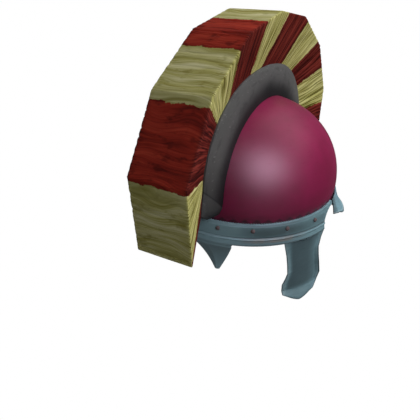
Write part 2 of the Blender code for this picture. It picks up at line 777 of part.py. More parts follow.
def make_crest_pins():
    seat = -BOWL_WALL - 2 * GAP
    profile = [
        (0, CREST_PIN_REACH),
        (CREST_PIN, CREST_PIN_REACH),
        (CREST_PIN, seat),
        (CREST_PIN_HEAD, seat),
        (CREST_PIN_HEAD * CREST_PIN_BEVEL, seat - CREST_PIN_HEAD_HEIGHT),
        (0, seat - CREST_PIN_HEAD_HEIGHT),
    ]
    for name, side in (("crest_pin_front", 1), ("crest_pin_rear", -1)):
        finish(turned(name, profile, False, ROUND_SIDES, crest_pin_place(side)), iron)


def rim_radius(angle):
    """The crest's outer radius: straight flats between the corners of its outline."""
    before, after, _ = between(CREST_OUTLINE, "angle", min(abs(angle), CREST_OUTLINE[-1]["angle"]))
    span = math.radians(after["angle"] - before["angle"])
    past = math.radians(abs(angle) - before["angle"])
    inverse = math.sin(span - past) / before["radius"] + math.sin(past) / after["radius"]
    return math.sin(span) / inverse


def make_crest_section(name, front, back, material, rng):
    """One stripe of the crest: hair in locks, parted by grooves down its sides and rim."""
    mean_width = (front["rim"] - back["rim"] + front["base"] - back["base"]) / 2
    locks = max(2, round(mean_width / LOCK_ANGLE))
    columns = 2 * locks
    sections = []
    for column in range(columns + 1):
        inside = 0 < column < columns
        shift = rng.uniform(-LOCK_UNEVEN["place"], LOCK_UNEVEN["place"]) / columns
        part = column / columns + (shift if inside else 0)
        share = rng.uniform(LOCK_UNEVEN["shallow"], LOCK_UNEVEN["deep"]) if inside else 1
        groove = 0 if column % 2 else LOCK_DEPTH * share
        edge = GAP / 2 * (1 if column == 0 else -1 if column == columns else 0)
        rim_angle = lerp(front["rim"], back["rim"], part)
        base_angle = lerp(front["base"], back["base"], part)
        rim = rim_radius(rim_angle) - groove
        base = holder_size(base_angle)[0] - CHANNEL_DEPTH + 2 * GAP
        slant = math.cos(math.radians(rim_angle - base_angle))
        rim_angle -= math.degrees(edge / rim / slant)
        base_angle -= math.degrees(edge / base / slant)
        half = CREST_RIM_HALF - groove
        foot = CREST_BASE_HALF
        shoulder = lerp(rim_angle, base_angle, CREST_EASE / (rim - base))
        section = [
            crest_point(base_angle, base, foot),
            crest_point(shoulder, rim - CREST_EASE, half),
            crest_point(rim_angle, rim, half - CREST_EASE),
            crest_point(rim_angle, rim, CREST_EASE - half),
            crest_point(shoulder, rim - CREST_EASE, -half),
            crest_point(base_angle, base, -foot),
        ]
        sections.append(section)
    return finish(loft(name, sections), material, sharp=60)


def make_crest():
    rng = random.Random(LOCK_SEED)
    for number, (front, back) in enumerate(zip(CREST_SEAMS, CREST_SEAMS[1:]), start=1):
        material = red_hair if number % 2 else cream_hair
        make_crest_section(f"crest_section_{number:02d}", front, back, material, rng)


clear_scene()
helmet = make_collection("centurion_helmet")
cutters = make_collection("cutters")
crimson = make_material("crimson_lacquer", (0.42, 0.008, 0.07), 0.25)
steel = make_material("steel", (0.55, 0.56, 0.57), 0.32, 1.0)
copper = make_material("copper_rivet", (0.28, 0.07, 0.05), 0.45, 1.0)
iron = make_material("dark_iron", (0.20, 0.20, 0.21), 0.5, 1.0)
dark_wood = make_material("dark_wood", (0.045, 0.047, 0.05), 0.55)
red_hair = make_material("red_horsehair", (0.27, 0.03, 0.03), 0.75)
cream_hair = make_material("cream_horsehair", (0.58, 0.52, 0.36), 0.75)

places = rivet_places()
rivet_holes = rods(
    "rivet_holes", places.values(), RIVET_SHANK + GAP, -RIVET_HOLE_INWARD, RIVET_HOLE_OUTWARD
)
hinge_holes = rods(
    "hinge_rivet_holes",
    hinge_rivet_places(1) + hinge_rivet_places(-1),
    HINGE_RIVET_SHANK + GAP,
    -HINGE_HOLE_INWARD,
    BOWL_WALL + GAP / 2,
)
pin_holes = rods(
    "crest_pin_holes",
    [crest_pin_place(1), crest_pin_place(-1)],
    CREST_PIN + GAP,
    -CREST_PIN_HOLE_INWARD,
    CREST_PIN_REACH + GAP,
)

make_bowl((rivet_holes, hinge_holes, pin_holes))
make_brow_band(rivet_holes)
make_neck_guard(rivet_holes)
make_rivets(places)
for side, word in ((1, "left"), (-1, "right")):
    make_hinge_leaf(side, f"hinge_leaf_{word}", hinge_holes)
    make_cheek_guard(side, f"cheek_guard_{word}")
    make_hinge_pin(side, f"hinge_pin_{word}")
    make_hinge_rivets(side, f"hinge_rivet_{word}")
make_holder(pin_holes)
make_crest_pins()
make_crest()
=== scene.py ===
import math
import random
from collections import namedtuple

import bmesh
import bpy
from mathutils import Matrix, Vector, noise


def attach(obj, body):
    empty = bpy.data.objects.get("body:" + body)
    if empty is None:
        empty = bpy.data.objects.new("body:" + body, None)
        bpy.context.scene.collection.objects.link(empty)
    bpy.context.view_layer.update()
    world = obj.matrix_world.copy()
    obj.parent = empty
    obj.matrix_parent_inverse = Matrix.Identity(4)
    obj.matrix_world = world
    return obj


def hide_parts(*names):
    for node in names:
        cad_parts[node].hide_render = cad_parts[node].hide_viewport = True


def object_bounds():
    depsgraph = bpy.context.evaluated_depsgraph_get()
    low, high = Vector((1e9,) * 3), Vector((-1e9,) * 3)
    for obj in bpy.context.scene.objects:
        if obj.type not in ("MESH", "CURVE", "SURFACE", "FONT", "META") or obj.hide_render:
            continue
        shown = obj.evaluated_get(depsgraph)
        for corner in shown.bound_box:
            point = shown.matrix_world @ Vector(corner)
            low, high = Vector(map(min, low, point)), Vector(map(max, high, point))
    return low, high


# Centurion helmet, in metres, +Z up, the wearer facing -Y.
# Azimuths run round Z from the front towards the wearer's left, crest angles run from
# the vertical towards the front, about the crest's centre.
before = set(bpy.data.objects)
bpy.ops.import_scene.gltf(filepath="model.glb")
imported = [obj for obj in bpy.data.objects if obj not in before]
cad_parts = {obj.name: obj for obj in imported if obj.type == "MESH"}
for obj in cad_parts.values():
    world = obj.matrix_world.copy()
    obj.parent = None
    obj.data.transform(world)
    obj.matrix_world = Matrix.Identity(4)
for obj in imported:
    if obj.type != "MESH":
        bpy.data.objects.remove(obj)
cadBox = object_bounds()
mm = 0.001


# Shader maths
def arithmetic(operation):  # an operator and its reflected form
    def plain(self, other):
        return self.maths(operation, self, other)

    def reflected(self, other):
        return self.maths(operation, other, self)

    return plain, reflected


class Wire:  # a socket, with the operators that the finishes use
    def __init__(self, tree, socket=None):
        self.tree = tree
        self.socket = socket

    def node(self, kind, settings, inputs, output=0):
        made = self.tree.nodes.new("ShaderNode" + kind)
        for name, value in settings.items():
            if name == "stops":
                setStops(made.color_ramp, value)
            else:
                setattr(made, name, value)
        for name, value in inputs.items():
            if isinstance(value, Wire):
                self.tree.links.new(value.socket, made.inputs[name])
            else:
                made.inputs[name].default_value = value
        return Wire(self.tree, made.outputs[output])

    def maths(self, operation, *values):
        return self.node("Math", {"operation": operation}, dict(enumerate(values)))

    def vector(self, operation, *values, output=0):
        inputs = dict(enumerate((self, *values)))
        return self.node("VectorMath", {"operation": operation}, inputs, output)

    __add__, __radd__ = arithmetic("ADD")
    __sub__, __rsub__ = arithmetic("SUBTRACT")
    __mul__, __rmul__ = arithmetic("MULTIPLY")
    __truediv__ = arithmetic("DIVIDE")[0]

    def __abs__(self):
        return self.maths("ABSOLUTE", self)

    def ramp(self, low, high):  # 0 at low, 1 at high, eased between them
        inputs = {"Value": self, "From Min": low, "From Max": high}
        return self.node("MapRange", {"interpolation_type": "SMOOTHSTEP"}, inputs)

    def blend(self, start, end):  # colours, mixed by this value
        return self.node("Mix", {"data_type": "RGBA"}, {0: self, 6: start, 7: end}, 2)

    def stretched(self, scale):
        return self.node("Mapping", {}, {"Vector": self, "Scale": scale})

    def clouds(self, scale, detail=3.0, roughness=0.5):
        inputs = {"Vector": self, "Scale": scale, "Detail": detail, "Roughness": roughness}
        return self.node("TexNoise", {}, inputs)

    def bumped(self, distance, strength):
        inputs = {"Height": self, "Distance": distance, "Strength": strength}
        return self.node("Bump", {}, inputs)

    def into(self, socket):
        self.tree.links.new(self.socket, socket)

    def parts(self):  # a vector's X, Y and Z
        split = self.node("SeparateXYZ", {}, {"Vector": self})
        return [Wire(self.tree, end) for end in split.socket.node.outputs]


def setStops(colorRamp, stops):
    while len(colorRamp.elements) < len(stops):
        colorRamp.elements.new(0.5)
    for element, (position, colour) in zip(colorRamp.elements, stops):
        element.position = position
        element.color = colour


def startMaterial(name, fixed):
    material = bpy.data.materials.new(name)
    material.use_nodes = True
    shader = material.node_tree.nodes["Principled BSDF"]
    for socket, value in fixed.items():
        shader.inputs[socket].default_value = value
    return material, Wire(material.node_tree), shader


def coated(colour, look, *coats):  # colours of the look over one another, each by its mask
    for mask, name in coats:
        colour = mask.blend(colour, look[name])
    return colour


def feed(shader, colour, rough, normal):
    for socket, value in (("Base Color", colour), ("Roughness", rough), ("Normal", normal)):
        value.into(shader.inputs[socket])


def cameraRay(wire):
    return wire.node("LightPath", {}, {}, "Is Camera Ray")


def places(wire):
    return wire.node("TexCoord", {}, {}, "Object")


def mapped(wire, name):
    return wire.node("UVMap", {"uv_map": name}, {})


# Modelling
def deselect():
    if bpy.context.object and bpy.context.object.mode != "OBJECT":
        bpy.ops.object.mode_set(mode="OBJECT")
    bpy.ops.object.select_all(action="DESELECT")


def started(name):
    piece = bpy.context.object
    piece.name = name
    piece.data.name = name
    return piece


def only(piece):
    deselect()
    piece.select_set(True)
    bpy.context.view_layer.objects.active = piece


def edit():  # edit mode, with everything selected
    bpy.ops.object.mode_set(mode="EDIT")
    bpy.ops.mesh.select_mode(type="VERT")
    bpy.ops.mesh.select_all(action="SELECT")


def leave():
    bpy.ops.object.mode_set(mode="OBJECT")


def pick(piece, wanted):  # selects the corners whose place passes, in edit mode
    mesh = bmesh.from_edit_mesh(piece.data)
    for corner in mesh.verts:
        corner.select = wanted(corner.co)
    mesh.select_flush_mode()
    bmesh.update_edit_mesh(piece.data)


def mergeAndFaceOut():
    bpy.ops.mesh.select_all(action="SELECT")
    bpy.ops.mesh.remove_doubles(threshold=0.01 * mm)
    bpy.ops.mesh.normals_make_consistent(inside=False)


def addModifier(piece, kind, settings):
    only(piece)
    modifier = piece.modifiers.new(kind.lower(), kind)
    for name, value in settings.items():
        setattr(modifier, name, value)
    bpy.ops.object.modifier_apply(modifier=modifier.name)


def cut(piece, cutter, keep=False):
    settings = {"operation": "DIFFERENCE", "solver": "EXACT", "object": cutter}
    addModifier(piece, "BOOLEAN", settings)
    if not keep:
        bpy.data.objects.remove(cutter)


def bevel(piece, width, segments=2):
    settings = {"width": width, "segments": segments, "angle_limit": math.radians(50)}
    addModifier(piece, "BEVEL", settings)


def thicken(piece, wall, even=True):
    addModifier(piece, "SOLIDIFY", {"thickness": wall, "offset": -1, "use_even_offset": even})


def applyPlace(piece):
    only(piece)
    bpy.ops.object.transform_apply(location=True, rotation=True, scale=True)


def joined(pieces):
    deselect()
    for piece in pieces:
        piece.select_set(True)
    bpy.context.view_layer.objects.active = pieces[0]
    bpy.ops.object.join()
    return pieces[0]


def linked(thing):
    bpy.context.scene.collection.objects.link(thing)
    return thing


def copied(piece, name):
    twin = piece.copy()
    twin.data = piece.data.copy()
    twin.name = name
    twin.data.name = name
    return linked(twin)


def turned(name, profile, steps):  # a chain of corners, drawn at +X and spun round Z
    deselect()
    bpy.ops.mesh.primitive_plane_add(size=mm)
    piece = started(name)
    edit()
    bpy.ops.mesh.merge(type="CENTER")
    bpy.ops.transform.translate(value=(profile[0][0], 0, profile[0][1]))
    for (radius, z), (nextRadius, nextZ) in zip(profile, profile[1:]):
        step = (nextRadius - radius, 0, nextZ - z)
        bpy.ops.mesh.extrude_region_move(TRANSFORM_OT_translate={"value": step})
    bpy.ops.mesh.select_all(action="SELECT")
    bpy.ops.mesh.spin(steps=steps, angle=math.tau, center=(0, 0, 0), axis=(0, 0, 1))
    mergeAndFaceOut()
    leave()
    return piece


def wrapped(name, columns, rows, point):  # a flat grid, facing up, wrapped over a curved face
    deselect()
    bpy.ops.mesh.primitive_grid_add(x_subdivisions=columns, y_subdivisions=rows, size=1)
    piece = started(name)
    shares = [corner.co + Vector((0.5, 0.5, 0)) for corner in piece.data.vertices]
    for corner, share in zip(piece.data.vertices, shares):
        corner.co = point(share.x, share.y)
    plate = piece.data.uv_layers.active or piece.data.uv_layers.new()
    plate.name = "plate"
    for loop in piece.data.loops:
        plate.data[loop.index].uv = shares[loop.vertex_index].xy
    return piece


def block(name, cuts, place):  # a cube cut into rings along each axis, then shaped
    deselect()
    bpy.ops.mesh.primitive_cube_add(size=1)
    piece = started(name)
    bpy.ops.object.mode_set(mode="EDIT")
    bpy.ops.mesh.select_mode(type="EDGE")
    for axis, count in enumerate(cuts):
        bpy.ops.mesh.select_all(action="DESELECT")
        mesh = bmesh.from_edit_mesh(piece.data)
        for edge in mesh.edges:
            edge.select = abs((edge.verts[0].co - edge.verts[1].co)[axis]) > 0.00001
        bmesh.update_edit_mesh(piece.data)
        bpy.ops.mesh.subdivide(number_cuts=count)
    leave()
    for corner in piece.data.vertices:
        corner.co = place(corner.co + Vector((0.5, 0.5, 0.5)))
    return piece


def acrossRod(name, vertices, radius, length, location):  # a cylinder along X
    deselect()
    bpy.ops.mesh.primitive_cylinder_add(
        vertices=vertices, radius=radius, depth=length, location=location,
        rotation=(0, math.pi / 2, 0),
    )
    rod = started(name)
    applyPlace(rod)
    return rod


def drills(name, placesAlong, size):  # rods along each place's Z, as one cutter
    rods = []
    for place in placesAlong:
        deselect()
        length = size["outward"] + size["inward"]
        bpy.ops.mesh.primitive_cylinder_add(vertices=20, radius=size["hole"], depth=length)
        rod = started(name)
        shift = (size["outward"] - size["inward"]) / 2
        rod.matrix_world = place @ Matrix.Translation((0, 0, shift))
        applyPlace(rod)
        rods.append(rod)
    return joined(rods)


def paint(piece, material):
    piece.data.materials.clear()
    piece.data.materials.append(material)


def finishPiece(piece, material, body, replaced, degrees):
    only(piece)
    bpy.ops.object.shade_smooth_by_angle(angle=math.radians(degrees))
    paint(piece, material)
    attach(piece, body)
    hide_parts(*replaced)


def onRing(azimuth, radius, z):
    angle = math.radians(azimuth)
    return Vector((radius * math.sin(angle), -radius * math.cos(angle), z))


def facingOut(azimuth, location, slope):  # a place with Z pointing outward, raised by the slope
    turn = Matrix.Rotation(math.radians(azimuth), 4, "Z")
    tilt = Matrix.Rotation(math.pi / 2 - slope, 4, "X")
    return Matrix.Translation(location) @ turn @ tilt


def table(columns, *rows):  # a dictionary for each row, by the columns' names
    return [dict(zip(columns.split(), row)) for row in rows]


def lerp(start, end, part):
    return start + (end - start) * part


def ease(part):
    part = min(max(part, 0), 1)
    return part * part * (3 - 2 * part)


def along(rows, key, name, value):  # a column of a table, read at a value of the key column
    for before, after in zip(rows, rows[1:]):
        if value <= after[key]:
            break
    part = (value - before[key]) / (after[key] - before[key])
    return lerp(before[name], after[name], part)


def curved(rows, key, name, value):  # the same on a smooth curve through the rows
    last = len(rows) - 1
    spot = 0
    while spot < last - 1 and value > rows[spot + 1][key]:
        spot += 1
    ends = (max(spot - 1, 0), spot, spot + 1, min(spot + 2, last))
    before, start, end, after = (rows[i][name] for i in ends)
    k0, k1, k2, k3 = (rows[i][key] for i in ends)
    part = (value - k1) / (k2 - k1)
    leave0 = (end - before) / (k2 - k0) * (k2 - k1)
    leave1 = (after - start) / (k3 - k1) * (k2 - k1)
    square = part * part
    cube = square * part
    return (
        (2 * cube - 3 * square + 1) * start
        + (cube - 2 * square + part) * leave0
        + (3 * square - 2 * cube) * end
        + (cube - square) * leave1
    )


# Camera, floor and light
camera = {
    "location": (0.22366, -0.50852, 0.14825),
    "turn": (60.898, 0, 29.009),
    "lens": 38.577,
    "sensor": 36,
}
studio = {
    "floorDrop": 3.0,
    "floorSize": 160,
    "floorColour": (0.80, 0.80, 0.80, 1),
    "sky": (1.0, 1.0, 1.0, 1),
    "skyStrength": 0.085,
    "lampDistance": 1.3,
}
lamps = table(
    "name toward size power lights shines colour",
    ("key", (0.62, 0.42, 0.66), 0.6, 12.5, True, False, (1, 1, 1)),
    ("fill", (0.667, -0.513, 0.539), 0.6, 4.8, True, False, (1, 1, 1)),
    ("far", (-0.86, 0.32, 0.22), 0.9, 7.5, True, True, (1, 1, 1)),
    ("rimShine", (0.20, 0.47, 0.85), 1.1, 3.2, False, True, (1, 1, 1)),
    ("gleam", (0.610, -0.560, 0.545), 1.0, 16, False, True, (0.98, 0.95, 1.17)),
)


def aim(piece, target):
    piece.rotation_euler = (target - piece.location).to_track_quat("-Z", "Y").to_euler()


def setStudio():
    data = bpy.data.cameras.new("camera")
    data.lens = camera["lens"]
    data.sensor_width = camera["sensor"]
    data.clip_start = 0.01
    view = bpy.data.objects.new("camera", data)
    view.location = camera["location"]
    view.rotation_euler = [math.radians(angle) for angle in camera["turn"]]
    scene = bpy.context.scene
    scene.camera = linked(view)

    world = bpy.data.worlds.new("sky")
    world.use_nodes = True
    wire = Wire(world.node_tree)
    seen = cameraRay(wire)
    sky = world.node_tree.nodes["Background"]
    sky.inputs["Color"].default_value = studio["sky"]
    strength = studio["skyStrength"] + (1 - studio["skyStrength"]) * seen
    strength.into(sky.inputs["Strength"])
    scene.world = world
    scene.view_settings.view_transform = "Standard"

    middle = (cadBox[0] + cadBox[1]) / 2
    for lamp in lamps:
        light = bpy.data.lights.new(lamp["name"], "AREA")
        light.shape = "DISK"
        light.size = lamp["size"]
        light.energy = lamp["power"]
        light.color = lamp["colour"]
        stand = bpy.data.objects.new(lamp["name"], light)
        stand.visible_diffuse = lamp["lights"]
        stand.visible_glossy = lamp["shines"]
        stand.location = middle + Vector(lamp["toward"]).normalized() * studio["lampDistance"]
        aim(linked(stand), middle)

    deselect()
    low = cadBox[0].z - studio["floorDrop"]
    bpy.ops.mesh.primitive_plane_add(size=studio["floorSize"], location=(0, 0, low))
    floor = started("floor")
    # The floor is far below and shows as plain white, without lighting the helmet from below
    fixed = {"Roughness": 0.9, "Base Color": studio["floorColour"]}
    material, wire, shader = startMaterial("pale floor", fixed)
    paper = wire.node("Emission", {}, {"Color": (1, 1, 1, 1), "Strength": 1.0})
    seen = cameraRay(wire)
    plain = Wire(wire.tree, shader.outputs[0])
    surface = wire.node("MixShader", {}, {0: seen, 1: plain, 2: paper})
    surface.into(material.node_tree.nodes["Material Output"].inputs["Surface"])
    paint(floor, material)


# Finishes
lacquerLook = {
    "deep": (0.205, 0.002, 0.044, 1),
    "bright": (0.280, 0.003, 0.066, 1),
    # the dark colour of the painted shade on the bowl
    "grime": (0.020, 0.001, 0.006, 1),
    "point": 6.67,  # degrees from one dark point above the band to the next
    "pointHeight": 0.0052,
}


def crimsonLacquer():
    look = lacquerLook
    fixed = {"Coat Roughness": 0.47, "Coat IOR": 1.5, "Specular IOR Level": 0.25}
    material, wire, shader = startMaterial("crimson lacquer", fixed)
    spot = places(wire)
    across, deep, up = spot.parts()
    azimuth = wire.maths("ARCTAN2", across, 0 - deep) * math.degrees(1)
    swing = abs(wire.maths("PINGPONG", azimuth, look["point"] / 2)) / (look["point"] / 2)
    height = up - rimZ
    # dark triangular points just above the band: painted shade
    points = 1 - (height - swing * look["pointHeight"]).ramp(-0.0016, 0.0016)
    tone = spot.clouds(14.0, 4.0, 0.6)
    colour = tone.ramp(0.35, 0.68).blend(look["deep"], look["bright"])
    # a dark line along the foot of the bowl at the band, broken up: painted shade where the two
    # parts meet
    shadeOverBand = (1 - height.ramp(0.0, 0.016)) * spot.clouds(60.0).ramp(0.42, 0.7)
    # darker, with less coat, beside the crest holder's arms low on the bowl: painted shade
    shadeBesideHolder = (1 - abs(across).ramp(0.018, 0.062)) * (1 - height.ramp(0.034, 0.088))
    for shadeMask in (points * 0.72, shadeOverBand * 0.45, shadeBesideHolder * 0.32):
        colour = shadeMask.blend(colour, look["grime"])
    scuffs = spot.stretched((30, 30, 140)).clouds(4.0, 4.0).ramp(0.55, 0.78)
    rough = 0.48 + 0.08 * tone + 0.10 * scuffs
    peel = spot.clouds(420.0, 1.0)
    dents = spot.clouds(22.0, 2.0)
    normal = (peel * 0.00006 + dents * 0.0011).bumped(1.0, 0.35)
    coat = (0.95 - 0.12 * scuffs - 0.10 * tone) * (1 - 0.75 * shadeBesideHolder)
    feed(shader, colour, rough, normal)
    coat.into(shader.inputs["Coat Weight"])
    return material


# each look: light and dark tones, then colours for stains, for dirt and painted shade, for wear
# and painted light, for bare metal, and how strong the stains are
steelLooks = table(
    "name light dark stain grime worn bare stains",
    (
        "band steel", (0.230, 0.380, 0.425, 1), (0.160, 0.272, 0.305, 1),
        (0.150, 0.095, 0.080, 1), (0.075, 0.105, 0.115, 1), (0.340, 0.510, 0.570, 1),
        (0.215, 0.200, 0.178, 1), 0.30,
    ),
    (
        "guard steel", (0.215, 0.350, 0.395, 1), (0.140, 0.235, 0.268, 1),
        (0.120, 0.110, 0.100, 1), (0.070, 0.105, 0.118, 1), (0.380, 0.500, 0.540, 1),
        (0.230, 0.240, 0.235, 1), 0.25,
    ),
    # the neck guard's steel is the same steel in lighter colours: painted light
    (
        "neck steel", (0.290, 0.485, 0.555, 1), (0.200, 0.345, 0.400, 1),
        (0.150, 0.150, 0.145, 1), (0.090, 0.120, 0.130, 1), (0.480, 0.620, 0.680, 1),
        (0.280, 0.290, 0.280, 1), 0.20,
    ),
)


def blueSteel(look, shade):
    fixed = {"Metallic": 0.12, "Specular IOR Level": 0.30}
    material, wire, shader = startMaterial(look["name"], fixed)
    spot = places(wire)
    tone = spot.clouds(17.0, 5.0, 0.6)
    brushed = spot.stretched((60, 60, 700)).clouds(1.0, 3.0, 0.6)
    mottle = spot.clouds(160.0, 3.0, 0.6)
    colour = (0.7 * tone + 0.3 * brushed).ramp(0.32, 0.70).blend(look["dark"], look["light"])
    pits = mottle.ramp(0.60, 0.75) * tone.ramp(0.40, 0.65)
    # the shade function gives a dark mask of dirt and painted shade, a light mask of wear and
    # painted light, and bare patches
    shadeAndDirt, worn, bare = shade(wire, spot)
    shadeAndDirt = wire.maths("MINIMUM", shadeAndDirt, 0.85)
    coats = (pits * look["stains"], "stain"), (shadeAndDirt, "grime"), (worn, "worn"), (bare, "bare")
    colour = coated(colour, look, *coats)
    rough = 0.48 + 0.12 * brushed + 0.18 * pits
    height = brushed * 0.00006 + mottle * 0.00010 + tone * 0.0010
    normal = height.bumped(1.0, 0.4)
    feed(shader, colour, rough, normal)
    return material


def bandShade(wire, spot):
    # Dirt in the groove and under the toothed edge, the groove also darkened as painted shade,
    # painted shade over the temples and along the lower edge, a worn bead and top edge, and the
    # band's front and the nasal painted lighter as painted light
    across, _, up = spot.parts()
    side = abs(across)
    depth = rimZ - up
    breakup = spot.clouds(90.0)
    groove = 1 - abs(depth - band["grooveDepth"]).ramp(0.0002, 0.0014)
    under = 1 - abs(depth - band["dirtDepth"]).ramp(0.0002, 0.0016)
    belt = (1 - abs(depth - band["beltDepth"]).ramp(0.001, 0.0060)) * 0.30
    # lighter at the front of the band: painted light, mixed in with the wear
    front = 1 - side.ramp(0.015, 0.060)
    # darker over the temples: painted shade
    templeShade = side.ramp(0.030, 0.070) * (1 - side.ramp(0.090, 0.108))
    # darker along the band's lower edge: painted shade
    foot = depth.ramp(band["height"] - 0.0022, band["height"] - 0.0006) * 0.8
    inside = 1 - depth.ramp(band["height"] + 0.001, band["height"] + 0.003)
    dark = (groove * 0.75 + under * 0.3 + belt * (1 - front) + templeShade * 0.42 + foot) * inside
    bead = 1 - abs(depth - band["beadDepth"] - band["beadHeight"] / 2).ramp(0.0004, 0.0018)
    top = 1 - depth.ramp(0.0006, 0.0016)
    worn = ((bead * 0.30 + top * 0.25) * breakup.ramp(0.35, 0.6) + front * 0.45) * inside
    # the whole nasal painted lighter: painted light
    nasalLit = (0.75 + 0.25 * (1 - side.ramp(0.0003, 0.0022))) * (1 - inside)
    low = 1 - abs(depth - band["beadDepth"] - band["bareBelow"]).ramp(0.0012, 0.0036)
    bare = low * templeShade * breakup.ramp(0.30, 0.55) * inside
    return dark, worn + nasalLit, bare * 0.8


def guardShade(wire, spot):
    # The plate's own map: U from its front edge to its rear edge, V from its foot up
    across, up, _ = mapped(wire, "plate").parts()
    breakup = spot.clouds(70.0)
    # a darker middle, a dark rear edge and a dark foot: painted shade on the dished plate and its
    # turned edges
    middle = across.ramp(0.16, 0.32) * (1 - across.ramp(0.55, 0.85)) * up.ramp(0.10, 0.2)
    rear = across.ramp(0.935, 0.965)
    foot = 1 - up.ramp(0.010, 0.022)
    # a lighter front strip and bottom lip, and a light line beside the rear fold: painted light,
    # mixed in with the wear
    front = 1 - across.ramp(0.05, 0.22)
    lip = (1 - up.ramp(0.09, 0.13)) * up.ramp(0.02, 0.04)
    line = across.ramp(0.88, 0.905) * (1 - across.ramp(0.92, 0.94))
    worn = front * 0.30 + lip * 0.16 * (1 - across.ramp(0.55, 0.80))
    worn = (worn + line * 0.35 * up.ramp(0.12, 0.22)) * breakup.ramp(0.30, 0.55)
    bare = lip * spot.clouds(40.0, 2.0).ramp(0.50, 0.62)
    return middle * 0.68 + rear * 0.9 + foot * 0.6, worn, bare * 0.4


def neckShade(wire, spot):
    across, up, _ = mapped(wire, "plate").parts()
    # dark along the foot and at both ends: painted shade on the edges
    foot = 1 - up.ramp(0.030, 0.055)
    ends = 1 - across.ramp(0.012, 0.024) + across.ramp(0.976, 0.988)
    line = up.ramp(0.055, 0.075) * (1 - up.ramp(0.09, 0.12))
    bare = line * spot.clouds(40.0, 2.0).ramp(0.50, 0.62)
    return foot * 0.6 + ends * 0.6, line * 0.5, bare * 0.5


copperLook = {
    "name": "dark copper",
    "dark": (0.085, 0.062, 0.062, 1),
    "light": (0.150, 0.105, 0.100, 1),
    "worn": (0.20, 0.11, 0.09, 1),
    "metallic": 0.25,
    "roughness": 0.65,
}
ironLook = {
    "name": "dark iron",
    "dark": (0.045, 0.045, 0.048, 1),
    "light": (0.110, 0.110, 0.115, 1),
    "worn": (0.10, 0.05, 0.03, 1),
    "metallic": 0.8,
    "roughness": 0.45,
}


def darkMetal(look):
    material, wire, shader = startMaterial(look["name"], {"Metallic": look["metallic"]})
    spot = places(wire)
    tone = spot.clouds(260.0, 3.0, 0.6)
    patches = spot.clouds(60.0, 3.0, 0.6)
    colour = tone.ramp(0.3, 0.7).blend(look["dark"], look["light"])
    colour = (patches.ramp(0.55, 0.72) * 0.5).blend(colour, look["worn"])
    normal = tone.bumped(0.00015, 0.6)
    rough = look["roughness"] + 0.2 * patches
    feed(shader, colour, rough, normal)
    return material


woodLook = {
    "dark": (0.013, 0.013, 0.014, 1),
    "light": (0.100, 0.099, 0.098, 1),
    "scratch": (0.22, 0.215, 0.21, 1),
    "centreZ": -0.1178,
    "foldY": 0.1457,  # a point on the fold, and the slopes of the line across it
    "foldZ": -0.0648,
    "foldAlong": 0.6885,
    "foldUp": 0.7254,
}


def paintedWood():
    look = woodLook
    material, wire, shader = startMaterial("dark painted wood", {"Specular IOR Level": 0.15})
    spot = places(wire)
    _, deep, up = spot.parts()
    centred = spot.vector("SUBTRACT", (0, 0, look["centreZ"]))
    radius = centred.vector("MULTIPLY", (0, 1, 1)).vector("LENGTH", output="Value")
    tone = spot.clouds(26.0, 4.0, 0.55)
    grain = spot.stretched((700, 60, 60)).clouds(1.0, 3.0, 0.6)
    # lighter towards the outer edge and darker near the bowl: painted light and shade over the
    # rounded sides
    outward = radius.ramp(0.122, 0.150)
    colour = (0.62 * outward + 0.38 * tone).ramp(0.10, 0.95).blend(look["dark"], look["light"])
    grained = grain.ramp(0.5, 0.7)
    # darker towards the bottom of the arms: painted shade
    low = 1 - up.ramp(-0.112, -0.015)
    scratches = spot.stretched((60, 160, 420)).clouds(1.0).ramp(0.62, 0.70)
    # Each nose has a fold, with a painted dark crease along it and a paler face below it: painted
    # shade and painted light
    past = look["foldAlong"] * (abs(deep) - look["foldY"]) - look["foldUp"] * (up - look["foldZ"])
    below = past.ramp(-0.0003, 0.0006)
    creaseShade = 1 - abs(past).ramp(0.0002, 0.0014)
    worn = scratches * radius.ramp(0.140, 0.150)
    coats = (grained * 0.25, "dark"), (low * 0.85, "dark"), (below * 0.35, "light")
    coats += (creaseShade * 0.5, "dark"), (worn * 0.45, "scratch")
    colour = coated(colour, look, *coats)
    rough = 0.50 + 0.10 * grain + 0.10 * scratches
    height = grain * 0.00012 + spot.clouds(300.0, 2.0) * 0.00008
    normal = height.bumped(1.0, 0.5)
    feed(shader, colour, rough, normal)
    return material


redHairLook = {
    "name": "red horsehair",
    "rim": ((0.045, 0.003, 0.002, 1), (0.270, 0.021, 0.011, 1), (0.420, 0.046, 0.024, 1)),
    "side": ((0.010, 0.002, 0.002, 1), (0.095, 0.010, 0.007, 1), (0.260, 0.040, 0.028, 1)),
    "stray": (0.34, 0.31, 0.11, 1),
    "seamSide": 1,
    "paleHem": 0,
}
creamHairLook = {
    "name": "cream horsehair",
    "rim": ((0.190, 0.165, 0.020, 1), (0.400, 0.375, 0.125, 1), (0.660, 0.630, 0.360, 1)),
    "side": ((0.075, 0.060, 0.005, 1), (0.440, 0.415, 0.120, 1), (0.760, 0.720, 0.340, 1)),
    "stray": (0.150, 0.014, 0.008, 1),
    "seamSide": -1,
    "paleHem": 0.45,
}
hairStops = {"rim": (0.38, 0.49, 0.60), "side": (0.425, 0.495, 0.575)}


